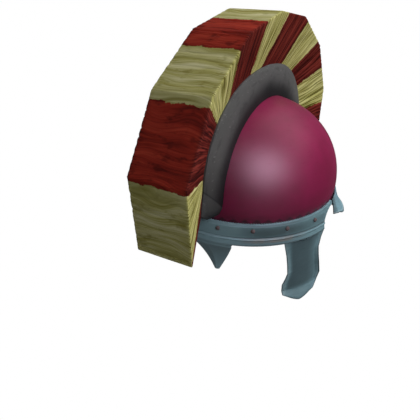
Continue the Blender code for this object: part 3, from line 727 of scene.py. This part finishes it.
def horsehair(look):
    # The map's U runs across the hairs and V along them, in metres
    material, wire, shader = startMaterial(look["name"], {"Specular IOR Level": 0.06})

    def hairs(start, across, down, detail=3.0, roughness=0.5):
        return start.stretched((across, down, 1)).clouds(1.0, detail, roughness)

    def tinted(tone, side):
        stops = list(zip(hairStops[side], look[side]))
        return wire.node("ValToRGB", {"stops": stops}, {"Fac": tone})

    hairMap = mapped(wire, "hair")
    names = ("seam", "rim")
    seam, onRim = (wire.node("Attribute", {"attribute_name": n}, {}, "Fac") for n in names)
    wander = hairs(hairMap, 24, 15, 1.0)
    sway = wire.node("CombineXYZ", {}, {"X": (wander - 0.5) * (0.010 + 0.026 * onRim)})
    shifted = hairMap.vector("ADD", sway)
    fine = hairs(shifted, 1900, 26, 3.0, 0.65)
    strands = hairs(shifted, 520, 14, 3.0, 0.6)
    tufts = hairs(shifted, 170, 12, 3.0, 0.55)
    streaks = hairs(shifted, 74, 8, 2.0)
    smudges = hairs(hairMap, 110, 45, 3.0, 0.6)
    rimTone = 0.16 * fine + 0.26 * strands + 0.18 * tufts + 0.40 * streaks
    sideTone = 0.22 * fine + 0.53 * strands + 0.25 * tufts
    colour = onRim.blend(tinted(sideTone, "side"), tinted(rimTone, "rim"))
    colour = (smudges.ramp(0.54, 0.70) * onRim * 0.60).blend(colour, look["rim"][0])
    hem = (1 - seam.ramp(0.003, 0.016)) * onRim * streaks.ramp(0.30, 0.55)
    colour = (hem * look["paleHem"]).blend(colour, look["rim"][2])
    edge = hairs(hairMap, 3, 75, 3.0, 0.6) - 0.5
    reach = edge * 0.012 * look["seamSide"] + (strands - 0.5) * 0.004
    strayed = (reach - seam).ramp(-0.0004, 0.0006)
    colour = strayed.blend(colour, look["stray"])
    height = 0.35 * fine + 0.45 * strands + 0.20 * tufts
    normal = height.bumped(0.0009, 0.45)
    rough = 0.80 - 0.15 * strands
    feed(shader, colour, rough, normal)
    return material


# Crown: the lacquered bowl, drawn in to the rim and flared again as the skirt under the band
crown = {
    "radius": 0.1150, "rise": 0.1030, "roundness": 2.15, "wall": 0.0016,
    "taper": 0.0650, "rimDrop": 0.0130, "skirt": 0.0130,
    "steps": 112, "rings": 26,
}
band = {
    "flare": 0.27, "wall": 0.0019, "height": 0.0260, "gap": 0.0003,
    "grooveDepth": 0.0166, "groove": 0.00030, "grooveHeight": 0.0011,
    "beadDepth": 0.0176, "beadHeight": 0.0023, "bead": 0.0008,
    "toothDepth": 0.0009, "teeth": 240,
    "dirtDepth": 0.0026, "beltDepth": 0.0105, "bareBelow": 0.0022,
}
ear = {"halfWidth": 0.0290, "rise": 0.0213, "margin": 0.0012, "back": 0.0120}
widestZ = crown["wall"] - crown["rise"]
rimZ = widestZ - crown["rimDrop"]
rimRadius = crown["radius"] * math.sqrt(1 - (crown["rimDrop"] / crown["taper"]) ** 2)
bandSlope = math.atan(band["flare"])


def skirtRadius(depth):
    return rimRadius + band["flare"] * depth


def bandRadius(depth):
    return skirtRadius(depth) + band["gap"] + band["wall"]


def crownLine(shift):  # the crown's outer line from the top to the skirt's foot, moved outward
    outer = [Vector((0, widestZ + crown["rise"]))]
    for ring in range(1, crown["rings"] + 1):
        turn = math.radians(90 * (1 - ring / crown["rings"]))
        power = 2 / crown["roundness"]
        radius = crown["radius"] * abs(math.cos(turn)) ** power
        outer.append(Vector((radius, widestZ + crown["rise"] * math.sin(turn) ** power)))
    for part in (0.25, 0.5, 0.75, 1):
        drop = crown["rimDrop"] * part
        radius = crown["radius"] * math.sqrt(1 - (drop / crown["taper"]) ** 2)
        outer.append(Vector((radius, widestZ - drop)))
    for part in (0.04, 0.3, 1):
        depth = crown["skirt"] * part
        outer.append(Vector((skirtRadius(depth), rimZ - depth)))
    line = [outer[0] + Vector((0, shift))]
    for i in range(1, len(outer)):
        run = outer[min(i + 1, len(outer) - 1)] - outer[i - 1]
        line.append(outer[i] + Vector((-run.y, run.x)).normalized() * shift)
    return [tuple(point) for point in line]


def earCutter(margin):
    # A cylinder across the helmet, cut to its front half and squared off behind
    base = rimZ - band["height"]
    cutter = acrossRod("ear cutter", 96, 1, 4 * crown["radius"], (0, 0, base))
    edit()
    size = (1, ear["halfWidth"] + margin, ear["rise"] + margin)
    bpy.ops.transform.resize(value=size, center_override=(0, 0, base))
    bpy.ops.mesh.bisect(plane_co=(0, 0, base), plane_no=(0, 1, 0), use_fill=True, clear_outer=True)
    pick(cutter, lambda place: place.y > -0.01 * mm)
    back = {"value": (0, ear["back"], 0)}
    bpy.ops.mesh.extrude_region_move(TRANSFORM_OT_translate=back)
    mergeAndFaceOut()
    leave()
    return cutter


def makeCrown(rivetCutter):
    profile = crownLine(0) + crownLine(-crown["wall"])[::-1]
    piece = turned("crown", profile, crown["steps"])
    cut(piece, earCutter(ear["margin"]))
    cut(piece, rivetCutter, keep=True)
    cut(piece, drills("hinge drills", hingeRivetPlaces(), hingeRivet))
    cut(piece, drills("pin drills", crestPinPlaces(), crestPin))
    finishPiece(piece, crimson, "helmet", ["bowl"], 50)


# Brow band with its toothed edge, groove and bead, and the nasal in one piece with it
nasal = {
    "wall": 0.0015, "length": 0.0638, "root": 0.0045,
    "topHalf": 0.0355, "tipHalf": 0.0037, "topReach": 0.1159, "tipReach": 0.0864,
    "setIn": 0.0001, "blend": 0.80,
    "topBulge": 0.0054, "tipBulge": 0.0020, "ridge": 0.0009, "ridgeHalf": 0.30,
    "columns": 24, "rows": 32, "bevel": 0.0003,
}


def cutTeeth(piece):  # every other corner of the top edge is pushed down
    pitch = 360 / band["teeth"]

    def between(place):
        turn = math.degrees(math.atan2(place.x, -place.y)) / pitch
        return place.z > rimZ - 0.02 * mm and abs(turn - round(turn)) > 0.25

    edit()
    pick(piece, between)
    bpy.ops.transform.translate(value=(0, 0, -band["toothDepth"]))
    leave()


def bandProfile():
    outer = [(0.0, -0.0003), (0.0003, 0.0), (0.0030, 0.0), (0.0036, 0.00022), (0.0048, 0.00022)]
    outer += [(0.0054, 0.0), (band["grooveDepth"] - band["grooveHeight"] / 2, 0.0)]
    outer += [(band["grooveDepth"], -band["groove"])]
    outer += [(band["grooveDepth"] + band["grooveHeight"] / 2, 0.0)]
    for part in (0.12, 0.3, 0.5, 0.7, 0.88, 1.0):
        relief = band["bead"] * math.sin(math.pi * part) ** 0.8
        outer.append((band["beadDepth"] + band["beadHeight"] * part, relief))
    outer += [(band["height"] - 0.0004, 0.0), (band["height"], -0.0004)]
    points = [(bandRadius(depth) + relief, rimZ - depth) for depth, relief in outer]
    points.append((bandRadius(band["height"]) - band["wall"], rimZ - band["height"]))
    points.append((bandRadius(0) - band["wall"], rimZ))
    points.append(points[0])
    return points


def nasalPoint(across, up):
    root = nasal["root"] / (nasal["root"] + nasal["length"])
    fraction = min(up / (1 - root), 1)
    above = max(up - (1 - root), 0) / root * nasal["root"]
    half = lerp(nasal["tipHalf"], nasal["topHalf"], fraction)
    share = 2 * across - 1
    ridge = nasal["ridge"] * (1 - ease(abs(share) / nasal["ridgeHalf"])) * min(2 * fraction, 1)
    reach = lerp(nasal["tipReach"], nasal["topReach"], fraction**2)
    bulge = lerp(nasal["tipBulge"], nasal["topBulge"], fraction) * (1 - share**2) + ridge
    depth = band["height"] + nasal["length"] * (1 - fraction) - above
    inBand = bandRadius(depth) - (band["wall"] - nasal["wall"]) / 2 - nasal["setIn"]
    seated = math.sqrt(inBand**2 - (half * share) ** 2)
    blend = ease((fraction - nasal["blend"]) / (1 - nasal["blend"]))
    return Vector((half * share, -lerp(reach + bulge, seated, blend), rimZ - depth))


def makeNasal():
    piece = wrapped("nasal", nasal["columns"], nasal["rows"], nasalPoint)
    thicken(piece, nasal["wall"], False)
    bevel(piece, nasal["bevel"])
    return piece


def makeBand(rivetCutter):
    piece = turned("browBand", bandProfile(), 2 * band["teeth"])
    cutTeeth(piece)
    edit()
    bpy.ops.mesh.bisect(plane_co=(0, mm, 0), plane_no=(0, 1, 0), use_fill=True, clear_outer=True)
    leave()
    cut(piece, earCutter(0))
    cut(piece, rivetCutter, keep=True)
    joined([piece, makeNasal()])
    finishPiece(piece, steelBand, "helmet", ["brow_band"], 40)


# Neck guard, flared out behind from the ears
neck = {"start": 91.2, "wall": 0.0018, "columns": 118, "rows": 22, "bevel": 0.0004}
neckRows = table(
    "azimuth drop flare",
    (91.2, 0.0200, 0.0042),
    (95.0, 0.0210, 0.0095),
    (100.0, 0.0250, 0.0135),
    (104.0, 0.0290, 0.0145),
    (128.0, 0.0330, 0.0157),
    (180.0, 0.0400, 0.0241),
)


def neckPoint(azimuth, fraction):
    side = min(azimuth, 360 - azimuth)
    for before, after in zip(neckRows, neckRows[1:]):
        if side <= after["azimuth"]:
            break
    part = ease((side - before["azimuth"]) / (after["azimuth"] - before["azimuth"]))
    drop = lerp(before["drop"], after["drop"], part)
    flare = lerp(before["flare"], after["flare"], part)
    straight = band["flare"] * drop
    radius = bandRadius(0) + straight * fraction + (flare - straight) * fraction**3
    return radius, drop * fraction


def neckGuardPoint(across, up):
    azimuth = 180 + (180 - neck["start"]) * (1 - 2 * across)
    radius, depth = neckPoint(azimuth, 1 - up)
    return onRing(azimuth, radius, rimZ - depth)


def makeNeckGuard(rivetCutter):
    # A flat grid, wrapped round the skirt by its two flare rules
    piece = wrapped("neckGuard", neck["columns"], neck["rows"], neckGuardPoint)
    thicken(piece, neck["wall"])
    bevel(piece, neck["bevel"], 3)
    cut(piece, rivetCutter, keep=True)
    finishPiece(piece, steelNeckLit, "helmet", ["neck_guard"], 40)


# Rivets
rivet = {
    "depth": 0.0080, "azimuths": (8, 28, 48, 68, 108, 128, 148, 168),
    "head": 0.0026, "height": 0.0017, "shank": 0.0013, "grip": 0.0042,
    "tail": 0.0021, "tailHeight": 0.0007, "gap": 0.0003, "steps": 24, "slopeSpan": 0.05,
    "hole": 0.0016, "inward": 0.0080, "outward": 0.0040,
}


def rivetPlace(azimuth):
    if min(azimuth, 360 - azimuth) < neck["start"]:
        radius = bandRadius(rivet["depth"])
        flare = band["flare"]
    else:
        fraction = rivet["depth"] / neckPoint(azimuth, 1)[1]
        radius, depth = neckPoint(azimuth, fraction)
        lower, deeper = neckPoint(azimuth, fraction + rivet["slopeSpan"])
        flare = (band["flare"] + (lower - radius) / (deeper - depth)) / 2
    return facingOut(azimuth, onRing(azimuth, radius, rimZ - rivet["depth"]), math.atan(flare))


def rivetPlaces():
    azimuths = sorted(a for front in rivet["azimuths"] for a in (front, 360 - front))
    return [rivetPlace(azimuth) for azimuth in azimuths]


def makeRivets():
    gap, grip, tail = rivet["gap"], rivet["grip"], rivet["tail"]
    profile = [(0, gap + rivet["height"])]
    for turn in (75, 60, 45, 30, 15, 0):
        radius = rivet["head"] * math.cos(math.radians(turn))
        profile.append((radius, gap + rivet["height"] * math.sin(math.radians(turn)) ** 0.9))
    profile += [(rivet["shank"], gap), (rivet["shank"], -grip), (tail, -grip)]
    profile += [(tail * 0.7, -grip - rivet["tailHeight"] * 0.8), (0, -grip - rivet["tailHeight"])]
    pattern = turned("rivetPattern", profile, rivet["steps"])
    for number, place in enumerate(rivetPlaces(), start=1):
        piece = copied(pattern, f"rivet{number:02d}")
        piece.matrix_world = place
        applyPlace(piece)
        finishPiece(piece, copper, "helmet", [f"rivet_{number:02d}"], 50)
    bpy.data.objects.remove(pattern)


# Cheek guards, hung on knuckles under the band
hinge = {
    "azimuth": 60.0, "drop": 0.0038, "clearance": 0.0004, "inset": 0.0043,
    "barrel": 0.0022, "bore": 0.0013, "fixed": 0.0120, "moving": 0.0080, "notchFoot": 0.0010,
    "gap": 0.0003, "bevel": 0.0002, "notchDeep": 0.06, "notchHigh": 0.03,
}
guard = {
    "wall": 0.0016, "curve": 0.1400, "columns": 40, "rows": 56, "fold": 0.11, "bevel": 0.0003,
    "frontTurn": 0.0022, "rearTurn": 0.0032, "bottomTurn": 0.0050, "bottomEnds": 0.60,
    "closeColumns": 0.30, "closeSpan": 1.6,
}
guardRows = table(
    "row front frontZ rear rearZ dip side",
    (0, -0.0262, -0.1013, 0.0226, -0.1080, 0.0105, 0.3),
    (1, -0.0266, -0.0965, 0.0312, -0.0980, 0.0026, 0.6),
    (2, -0.0272, -0.0871, 0.0340, -0.0884, 0.0010, 1.0),
    (3, -0.0235, -0.0790, 0.0318, -0.0790, 0.0, 1.0),
    (4, -0.0209, -0.0714, 0.0296, -0.0700, 0.0, 1.0),
    (5, -0.0222, -0.0590, 0.0268, -0.0580, 0.0, 0.9),
    (6, -0.0240, -0.0455, 0.0257, -0.0465, 0.0, 0.6),
    (7, -0.0262, -0.0350, 0.0300, -0.0350, 0.0, 0.2),
    (8, -0.0282, -0.0264, 0.0355, -0.0264, 0.0, 0.0),
)
guardReach = skirtRadius(band["height"]) + band["gap"] - hinge["clearance"]
hingeRadius = guardReach - hinge["inset"]
hingeZ = rimZ - band["height"] - hinge["drop"]


def hingePlace(side):  # X along the hinge, -Y outward, Z up
    azimuth = side * hinge["azimuth"]
    turn = Matrix.Rotation(math.radians(azimuth), 4, "Z")
    return Matrix.Translation(onRing(azimuth, hingeRadius, hingeZ)) @ turn


def foldPlace(across):  # closer columns over the two folds
    edge = guard["closeColumns"]
    span = guard["fold"] * guard["closeSpan"]
    if across < edge:
        return span * across / edge
    if across > 1 - edge:
        return 1 - span * (1 - across) / edge
    return lerp(span, 1 - span, (across - edge) / (1 - 2 * edge))


def guardPoint(across, up):
    row = up * (len(guardRows) - 1)
    names = ("front", "rear", "frontZ", "rearZ", "dip", "side")
    front, rear, frontZ, rearZ, dip, side = (along(guardRows, "row", n, row) for n in names)
    across = foldPlace(across)
    middle = 1 - abs(2 * across - 1)
    place = lerp(front, rear, across)
    dip *= 1 - (1 - middle) ** 1.5
    z = lerp(frontZ, rearZ, across) - dip
    # The edges turn outward past a fold
    turn = max(1 - across / guard["fold"], 0) * guard["frontTurn"]
    turn += max(1 - (1 - across) / guard["fold"], 0) * guard["rearTurn"]
    turn *= side
    lip = guard["bottomTurn"] * lerp(guard["bottomEnds"], 1, middle)
    turn += max(1 - row, 0) * lip
    out = hinge["inset"] - place**2 / (2 * guard["curve"]) + turn
    return Vector((place, -out, rimZ + z - hingeZ))


hingeRivet = {
    "depth": 0.0080, "spread": 0.0032, "hole": 0.0013, "inward": 0.0050, "outward": 0.00175,
}


def hingeRivetPlaces():
    out = skirtRadius(hingeRivet["depth"]) - crown["wall"] / math.cos(bandSlope) - hingeRadius
    up = rimZ - hingeRivet["depth"] - hingeZ
    tilt = Matrix.Rotation(math.pi / 2 - bandSlope, 4, "X")
    spread = (-hingeRivet["spread"], hingeRivet["spread"])
    shifts = [Matrix.Translation((place, -out, up)) for place in spread]
    return [hingePlace(side) @ shift @ tilt for side in (1, -1) for shift in shifts]


def makeKnuckle(end):
    # A tube round the pin, with an arm to the plate
    middle = (end * (hinge["fixed"] / 2 + hinge["gap"] + hinge["moving"] / 2), 0, 0)
    tube = acrossRod("knuckle", 28, hinge["barrel"], hinge["moving"], middle)
    edit()
    pick(tube, lambda place: place.y < -hinge["barrel"] * 0.7)
    arm = {"value": (0, -(hinge["inset"] - guard["wall"] * 0.7 - hinge["barrel"]), 0)}
    bpy.ops.mesh.extrude_region_move(TRANSFORM_OT_translate=arm)
    leave()
    cut(tube, acrossRod("drill", 28, hinge["bore"], 2 * hinge["moving"], middle))
    bevel(tube, hinge["bevel"])
    return tube


def makeCheekGuards():
    plate = wrapped("cheekGuardLeft", guard["columns"], guard["rows"], guardPoint)
    thicken(plate, guard["wall"])
    notch = hinge["fixed"] / 2 + 2 * hinge["gap"]
    middle = (0, 0, hinge["notchFoot"] + hinge["notchHigh"] / 2)
    deselect()
    bpy.ops.mesh.primitive_cube_add(size=1, location=middle)
    cutter = started("notch")
    edit()
    bpy.ops.transform.resize(value=(2 * notch, hinge["notchDeep"], hinge["notchHigh"]))
    leave()
    applyPlace(cutter)
    cut(plate, cutter)
    bevel(plate, guard["bevel"])
    left = joined([plate, makeKnuckle(-1), makeKnuckle(1)])
    right = copied(left, "cheekGuardRight")
    left.matrix_world = hingePlace(1)
    applyPlace(left)
    right.matrix_world = hingePlace(-1) @ Matrix.Scale(-1, 4, (1, 0, 0))
    applyPlace(right)  # the mirrored twin is turned the right way out again
    edit()
    bpy.ops.mesh.normals_make_consistent(inside=False)
    leave()
    finishPiece(left, steelGuard, "cheek_left", ["cheek_guard_left"], 40)
    finishPiece(right, steelGuard, "cheek_right", ["cheek_guard_right"], 40)


# Crest: a dark wooden holder, and hair in twelve stripes whose feet are set into it
crest = {
    "drop": 0.0034, "rimHalf": 0.0339, "baseHalf": 0.0125, "round": 0.0018, "gap": 0.0003,
    "parting": 0.00002,
    "lock": 2.25, "lockDepth": 0.0008, "uneven": 0.22, "depths": (0.4, 1.1),
    "seamDepth": 0.2,
    "strand": 0.00022, "strandPitch": 0.0013, "wander": 0.0015, "wanderPitch": 0.0150,
    "column": 0.00052, "mapHeight": 0.065, "calmEdge": 0.006, "grooveStart": 0.4,
}
hairHeights = (0, 0.08, 0.2, 0.33, 0.46, 0.58, 0.69, 0.78, 0.86, 0.92, 0.955, 0.975, 0.988, 1)
hairAcross = (0, 0.13, 0.26, 0.39, 0.52, 0.64, 0.75, 0.85, 0.93, 0.965, 0.985, 1)
crestOutline = table(
    "angle radius",
    (0.0, 0.2172), (22.1, 0.2203), (45.2, 0.2258), (67.4, 0.2254), (90.0, 0.2020),
)
crestSeams = table(
    "rim base",
    (90.0, 80.0), (88.4, 68.0), (68.5, 64.7), (47.6, 44.0), (28.8, 33.0), (11.0, 13.5),
    (-5.7, 3.0), (-25.4, -22.0), (-41.7, -36.0), (-55.8, -50.0), (-72.0, -66.0),
    (-80.5, -75.0), (-90.0, -80.0),
)
holder = {
    "half": 0.0210, "core": 0.0800, "step": 2.0, "smoothTo": 72.0,
    "channelHalf": 0.0142, "channelDepth": 0.0040, "channelEnd": 82.0,
    "foldOuter": 69.0, "foldInner": 80.0, "foldDeep": 0.0400, "foldIn": 0.00025,
    "coreFoot": 0.03,
}
holderProfile = table(
    "angle radius width",
    (0.0, 0.1552, 1.0),
    (12.0, 0.1568, 1.0),
    (24.0, 0.1608, 1.0),
    (36.0, 0.1642, 1.0),
    (46.0, 0.1652, 1.0),
    (55.0, 0.1638, 1.0),
    (64.0, 0.1598, 1.0),
    (72.0, 0.1552, 1.0),
    (80.0, 0.1530, 1.0),
    (84.0, 0.1345, 0.82),
    (88.0, 0.1162, 0.30),
)
holderShoulder = table(
    "below in",
    (0.0000, 0.0054), (0.0030, 0.0038), (0.0085, 0.0023), (0.0160, 0.0010), (0.0260, 0.0000),
)
holderRows = (
    0.0, 0.0005, 0.0012, 0.0022, 0.0036, 0.0055, 0.0085, 0.0120, 0.0160, 0.0210, 0.0260,
)
crestPin = {"angle": 45.0, "hole": 0.0023, "inward": 0.0060, "outward": 0.0183}
crestCentre = Vector((0, 0, rimZ - crest["drop"]))


def crestPinPlaces():
    power = 2 / crown["roundness"]
    turn = math.radians(crestPin["angle"])
    radius = crown["radius"] * math.cos(turn) ** power
    rise = crown["rise"] * math.sin(turn) ** power
    bend = crown["roundness"]
    across = radius ** (bend - 1) / crown["radius"] ** bend
    up = rise ** (bend - 1) / crown["rise"] ** bend
    slope = math.atan2(up, across)
    return [facingOut(side, onRing(side, radius, widestZ + rise), slope) for side in (0, 180)]


def crestPoint(angle, radius, x):
    turn = math.radians(angle)
    return crestCentre + Vector((x, -radius * math.sin(turn), radius * math.cos(turn)))


def holderRadius(angle):
    angle = abs(angle)
    if angle < holder["smoothTo"]:
        return curved(holderProfile[:9], "angle", "radius", angle)
    return along(holderProfile, "angle", "radius", angle)


def rimRadiusAt(angle):  # straight flats between the corners of the crest's outline
    angle = min(abs(angle), crestOutline[-1]["angle"])
    for before, after in zip(crestOutline, crestOutline[1:]):
        if angle <= after["angle"]:
            break
    span = math.radians(after["angle"] - before["angle"])
    past = math.radians(angle - before["angle"])
    inverse = math.sin(span - past) / before["radius"] + math.sin(past) / after["radius"]
    return math.sin(span) / inverse


def makeHolder():
    # An arched beam with rounded shoulders and a tapered nose at each end
    angles = [row["angle"] for row in holderProfile[8:]]
    count = int(holderProfile[8]["angle"] / holder["step"])
    angles = [holder["step"] * i for i in range(count)] + angles
    angles = [-angle for angle in reversed(angles[1:])] + angles
    rows = len(holderRows)

    def place(share):
        angle = angles[round(share.y * (len(angles) - 1))]
        radius = holderRadius(angle)
        width = along(holderProfile, "angle", "width", abs(angle))
        row = round(share.z * rows)
        if row == 0:
            return crestPoint(angle, holder["core"], holder["half"] * width * (2 * share.x - 1))
        below = holderRows[rows - row]
        inset = curved(holderShoulder, "below", "in", below)
        fold = lerp(holder["foldOuter"], holder["foldInner"], min(below / holder["foldDeep"], 1))
        past = max(min(abs(angle), holderProfile[8]["angle"]) - fold, 0)
        inset += past * holder["foldIn"] * min(0.3 + below / 0.008, 1)
        x = (holder["half"] - inset) * width * (2 * share.x - 1)
        return crestPoint(angle, radius - below * width, x)

    piece = block("crestHolder", (6, len(angles) - 2, rows - 1), place)
    foot = rimZ - holder["coreFoot"]
    line = crownLine(crest["gap"])[:-4] + [(rimRadius, foot), (0, foot)]
    cut(piece, turned("clearance", line, 96))
    ends = [-holder["channelEnd"]]
    ends += [angle for angle in angles if abs(angle) <= crestSeams[0]["base"]]
    ends.append(holder["channelEnd"])

    def channelPlace(share):
        angle = ends[round(share.y * (len(ends) - 1))]
        radius = holderRadius(min(abs(angle), crestSeams[0]["base"]))
        reach = radius + holder["channelDepth"] * (2 * share.z - 1)
        return crestPoint(angle, reach, holder["channelHalf"] * (2 * share.x - 1))

    # This cutter faces inward, so it scores the channel's outline and leaves the wood whole
    cut(piece, block("channel", (0, len(ends) - 2, 0), channelPlace))
    cut(piece, drills("pin drills", crestPinPlaces(), crestPin))
    finishPiece(piece, darkWood, "helmet", ["crest_holder"], 32)


def bumpy(u, v, pitch, stretch, seed):
    return noise.noise(Vector((u / pitch, v / (pitch * stretch), seed)))


# A corner's place in the hair: its map, its distance to either seam, and whether it is on the rim
HairFact = namedtuple("HairFact", "u v ahead behind rimShare onTop")


def rounded(spot):
    return tuple(round(c, 6) for c in spot)


def store(mesh, name, values):
    mesh.attributes.new(name, "FLOAT", "POINT").data.foreach_set("value", values)


def grooveAt(partings, depths, part, u, v):
    for i in range(len(partings) - 1):
        if part <= partings[i + 1]:
            break
    spot = min(max((part - partings[i]) / (partings[i + 1] - partings[i]), 0), 1)
    depth = lerp(depths[i], depths[i + 1], spot) * crest["lockDepth"]
    depth *= 1 - math.sin(math.pi * spot) ** 0.35
    fine = 0.5 + bumpy(u, v, crest["strandPitch"], 22, 3)
    return depth + crest["strand"] * max(fine, 0)


def mapHair(mesh, number, facts):
    hairMap = mesh.uv_layers.new(name="hair")
    for face in mesh.polygons:
        flat = len({round(facts[i].u, 6) for i in face.vertices}) == 1
        for loop in face.loop_indices:
            i = mesh.loops[loop].vertex_index
            aside = mesh.vertices[i].co.x if flat else 0
            hairMap.data[loop].uv = (facts[i].u + aside, facts[i].v)
    # No strays at the crest's two ends, and none between the first two stripes on their rims,
    # which have one colour
    last = len(crestSeams) - 1
    ahead = [fact.ahead + (number == 1) + (number == 2) * fact.onTop for fact in facts]
    behind = [fact.behind + (number == last) + (number == 1) * fact.onTop for fact in facts]
    store(mesh, "seam", [min(pair) for pair in zip(ahead, behind)])
    store(mesh, "rim", [fact.rimShare for fact in facts])


def makeStripe(number, front, back, start, dice):
    # One stripe of hair: a block fanned out from inside the holder to the crest's rim, parted
    # into locks by grooves, with fine strands over them that wander a little
    width = (front["rim"] - back["rim"] + front["base"] - back["base"]) / 2
    rimWidth = math.radians(front["rim"] - back["rim"]) * crestOutline[2]["radius"]
    deepest = math.radians(front["base"] - back["base"]) * holderProfile[0]["radius"]
    locks = max(2, round(width / crest["lock"]))
    spread = max(rimWidth, deepest)
    columns = round(spread / crest["column"])
    partings = [i / locks for i in range(locks + 1)]
    for i in range(1, locks):
        partings[i] += dice.uniform(-crest["uneven"], crest["uneven"]) / locks
    depths = [dice.uniform(*crest["depths"]) for _ in partings]
    depths[0] = depths[-1] = crest["seamDepth"]
    across = [-share for share in reversed(hairAcross[1:])] + list(hairAcross)
    shares = {}

    def place(share):
        s = across[round(share.x * (len(across) - 1))]
        t = hairHeights[round(share.z * (len(hairHeights) - 1))]
        a = share.y
        u = start + a * spread
        height = crest["mapHeight"]
        v = t * height if t < 1 else height + crest["rimHalf"] * (1 - abs(s))
        v = v if s > 0 else 2 * (height + crest["rimHalf"]) - v
        inside = min(a, 1 - a) * rimWidth
        sway = crest["wander"] * bumpy(u, v, crest["wanderPitch"], 1.3, 7)
        sway *= ease(inside / crest["calmEdge"])
        shifted = min(max(a + sway * t / max(rimWidth, 0.001), 0), 1)
        depth = grooveAt(partings, depths, a, u, v) * ease(t / crest["grooveStart"])
        ends = crest["parting"] / 2 * (1 - 2 * a)
        rimAngle = lerp(front["rim"], back["rim"], shifted)
        baseAngle = lerp(front["base"], back["base"], shifted)
        base = holderRadius(baseAngle) - holder["channelDepth"] + 2 * crest["gap"]
        rim = rimRadiusAt(rimAngle) - depth
        slant = math.cos(math.radians(rimAngle - baseAngle))
        rimAngle -= math.degrees(ends / rim / slant)
        baseAngle -= math.degrees(ends / base / slant)
        rise = rim - base
        half = lerp(crest["baseHalf"], crest["rimHalf"], t) - depth
        x = half * abs(s)
        low = rise * (1 - t)
        intoX = x - (half - crest["round"])
        intoZ = crest["round"] - low
        if intoX > 0 and intoZ > 0:  # the edge between side and rim is rounded
            shrink = max(intoX, intoZ) / math.hypot(intoX, intoZ)
            x = half - crest["round"] + intoX * shrink
            low = crest["round"] - intoZ * shrink
        top = crestPoint(rimAngle, rim, 0)
        foot = crestPoint(baseAngle, base, 0)
        spot = foot.lerp(top, 1 - low / rise)
        spot.x = math.copysign(x, s)
        onTop = t == 1
        rimShare = ease((1 - abs(s)) / 0.12) * onTop
        wide = lerp(deepest, rimWidth, t)
        shares[rounded(spot)] = HairFact(u, v, a * wide, (1 - a) * wide, rimShare, onTop)
        return spot

    cuts = (len(across) - 2, columns - 1, len(hairHeights) - 2)
    piece = block(f"crestSection{number:02d}", cuts, place)
    mesh = piece.data
    facts = [shares[rounded(corner.co)] for corner in mesh.vertices]
    mapHair(mesh, number, facts)
    hair = redHair if number % 2 else creamHair
    slot = "red_horsehair" if number % 2 else "cream_horsehair"
    finishPiece(piece, hair, "helmet", [f"crest_section_{number:02d}"], 60)
    if number == 1:  # cream hair is combed over the front tuft's rim
        mesh.materials.append(creamHair)
        for face in mesh.polygons:
            face.material_index = int(all(facts[i].onTop for i in face.vertices))
    return start + spread


def makeCrest():
    dice = random.Random(11)
    start = 0
    for number, (front, back) in enumerate(zip(crestSeams, crestSeams[1:]), start=1):
        start = makeStripe(number, front, back, start, dice)


def paintKept():
    # Hinges and pins keep their solids and only take a finish
    for name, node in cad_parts.items():
        if name.startswith(("hinge_", "crest_pin")):
            paint(node, iron)


setStudio()
print("studio set")
crimson = crimsonLacquer()
shades = (bandShade, guardShade, neckShade)
steelBand, steelGuard, steelNeckLit = map(blueSteel, steelLooks, shades)
copper = darkMetal(copperLook)
iron = darkMetal(ironLook)
darkWood = paintedWood()
redHair = horsehair(redHairLook)
creamHair = horsehair(creamHairLook)
print("finishes made")
rivetCutter = drills("rivet drills", rivetPlaces(), rivet)
makeCrown(rivetCutter)
print("crown made")
makeBand(rivetCutter)
print("band made")
makeNeckGuard(rivetCutter)
bpy.data.objects.remove(rivetCutter)
makeRivets()
print("neck guard and rivets made")
makeCheekGuards()
print("cheek guards made")
makeHolder()
print("holder made")
makeCrest()
print("crest made")
paintKept()
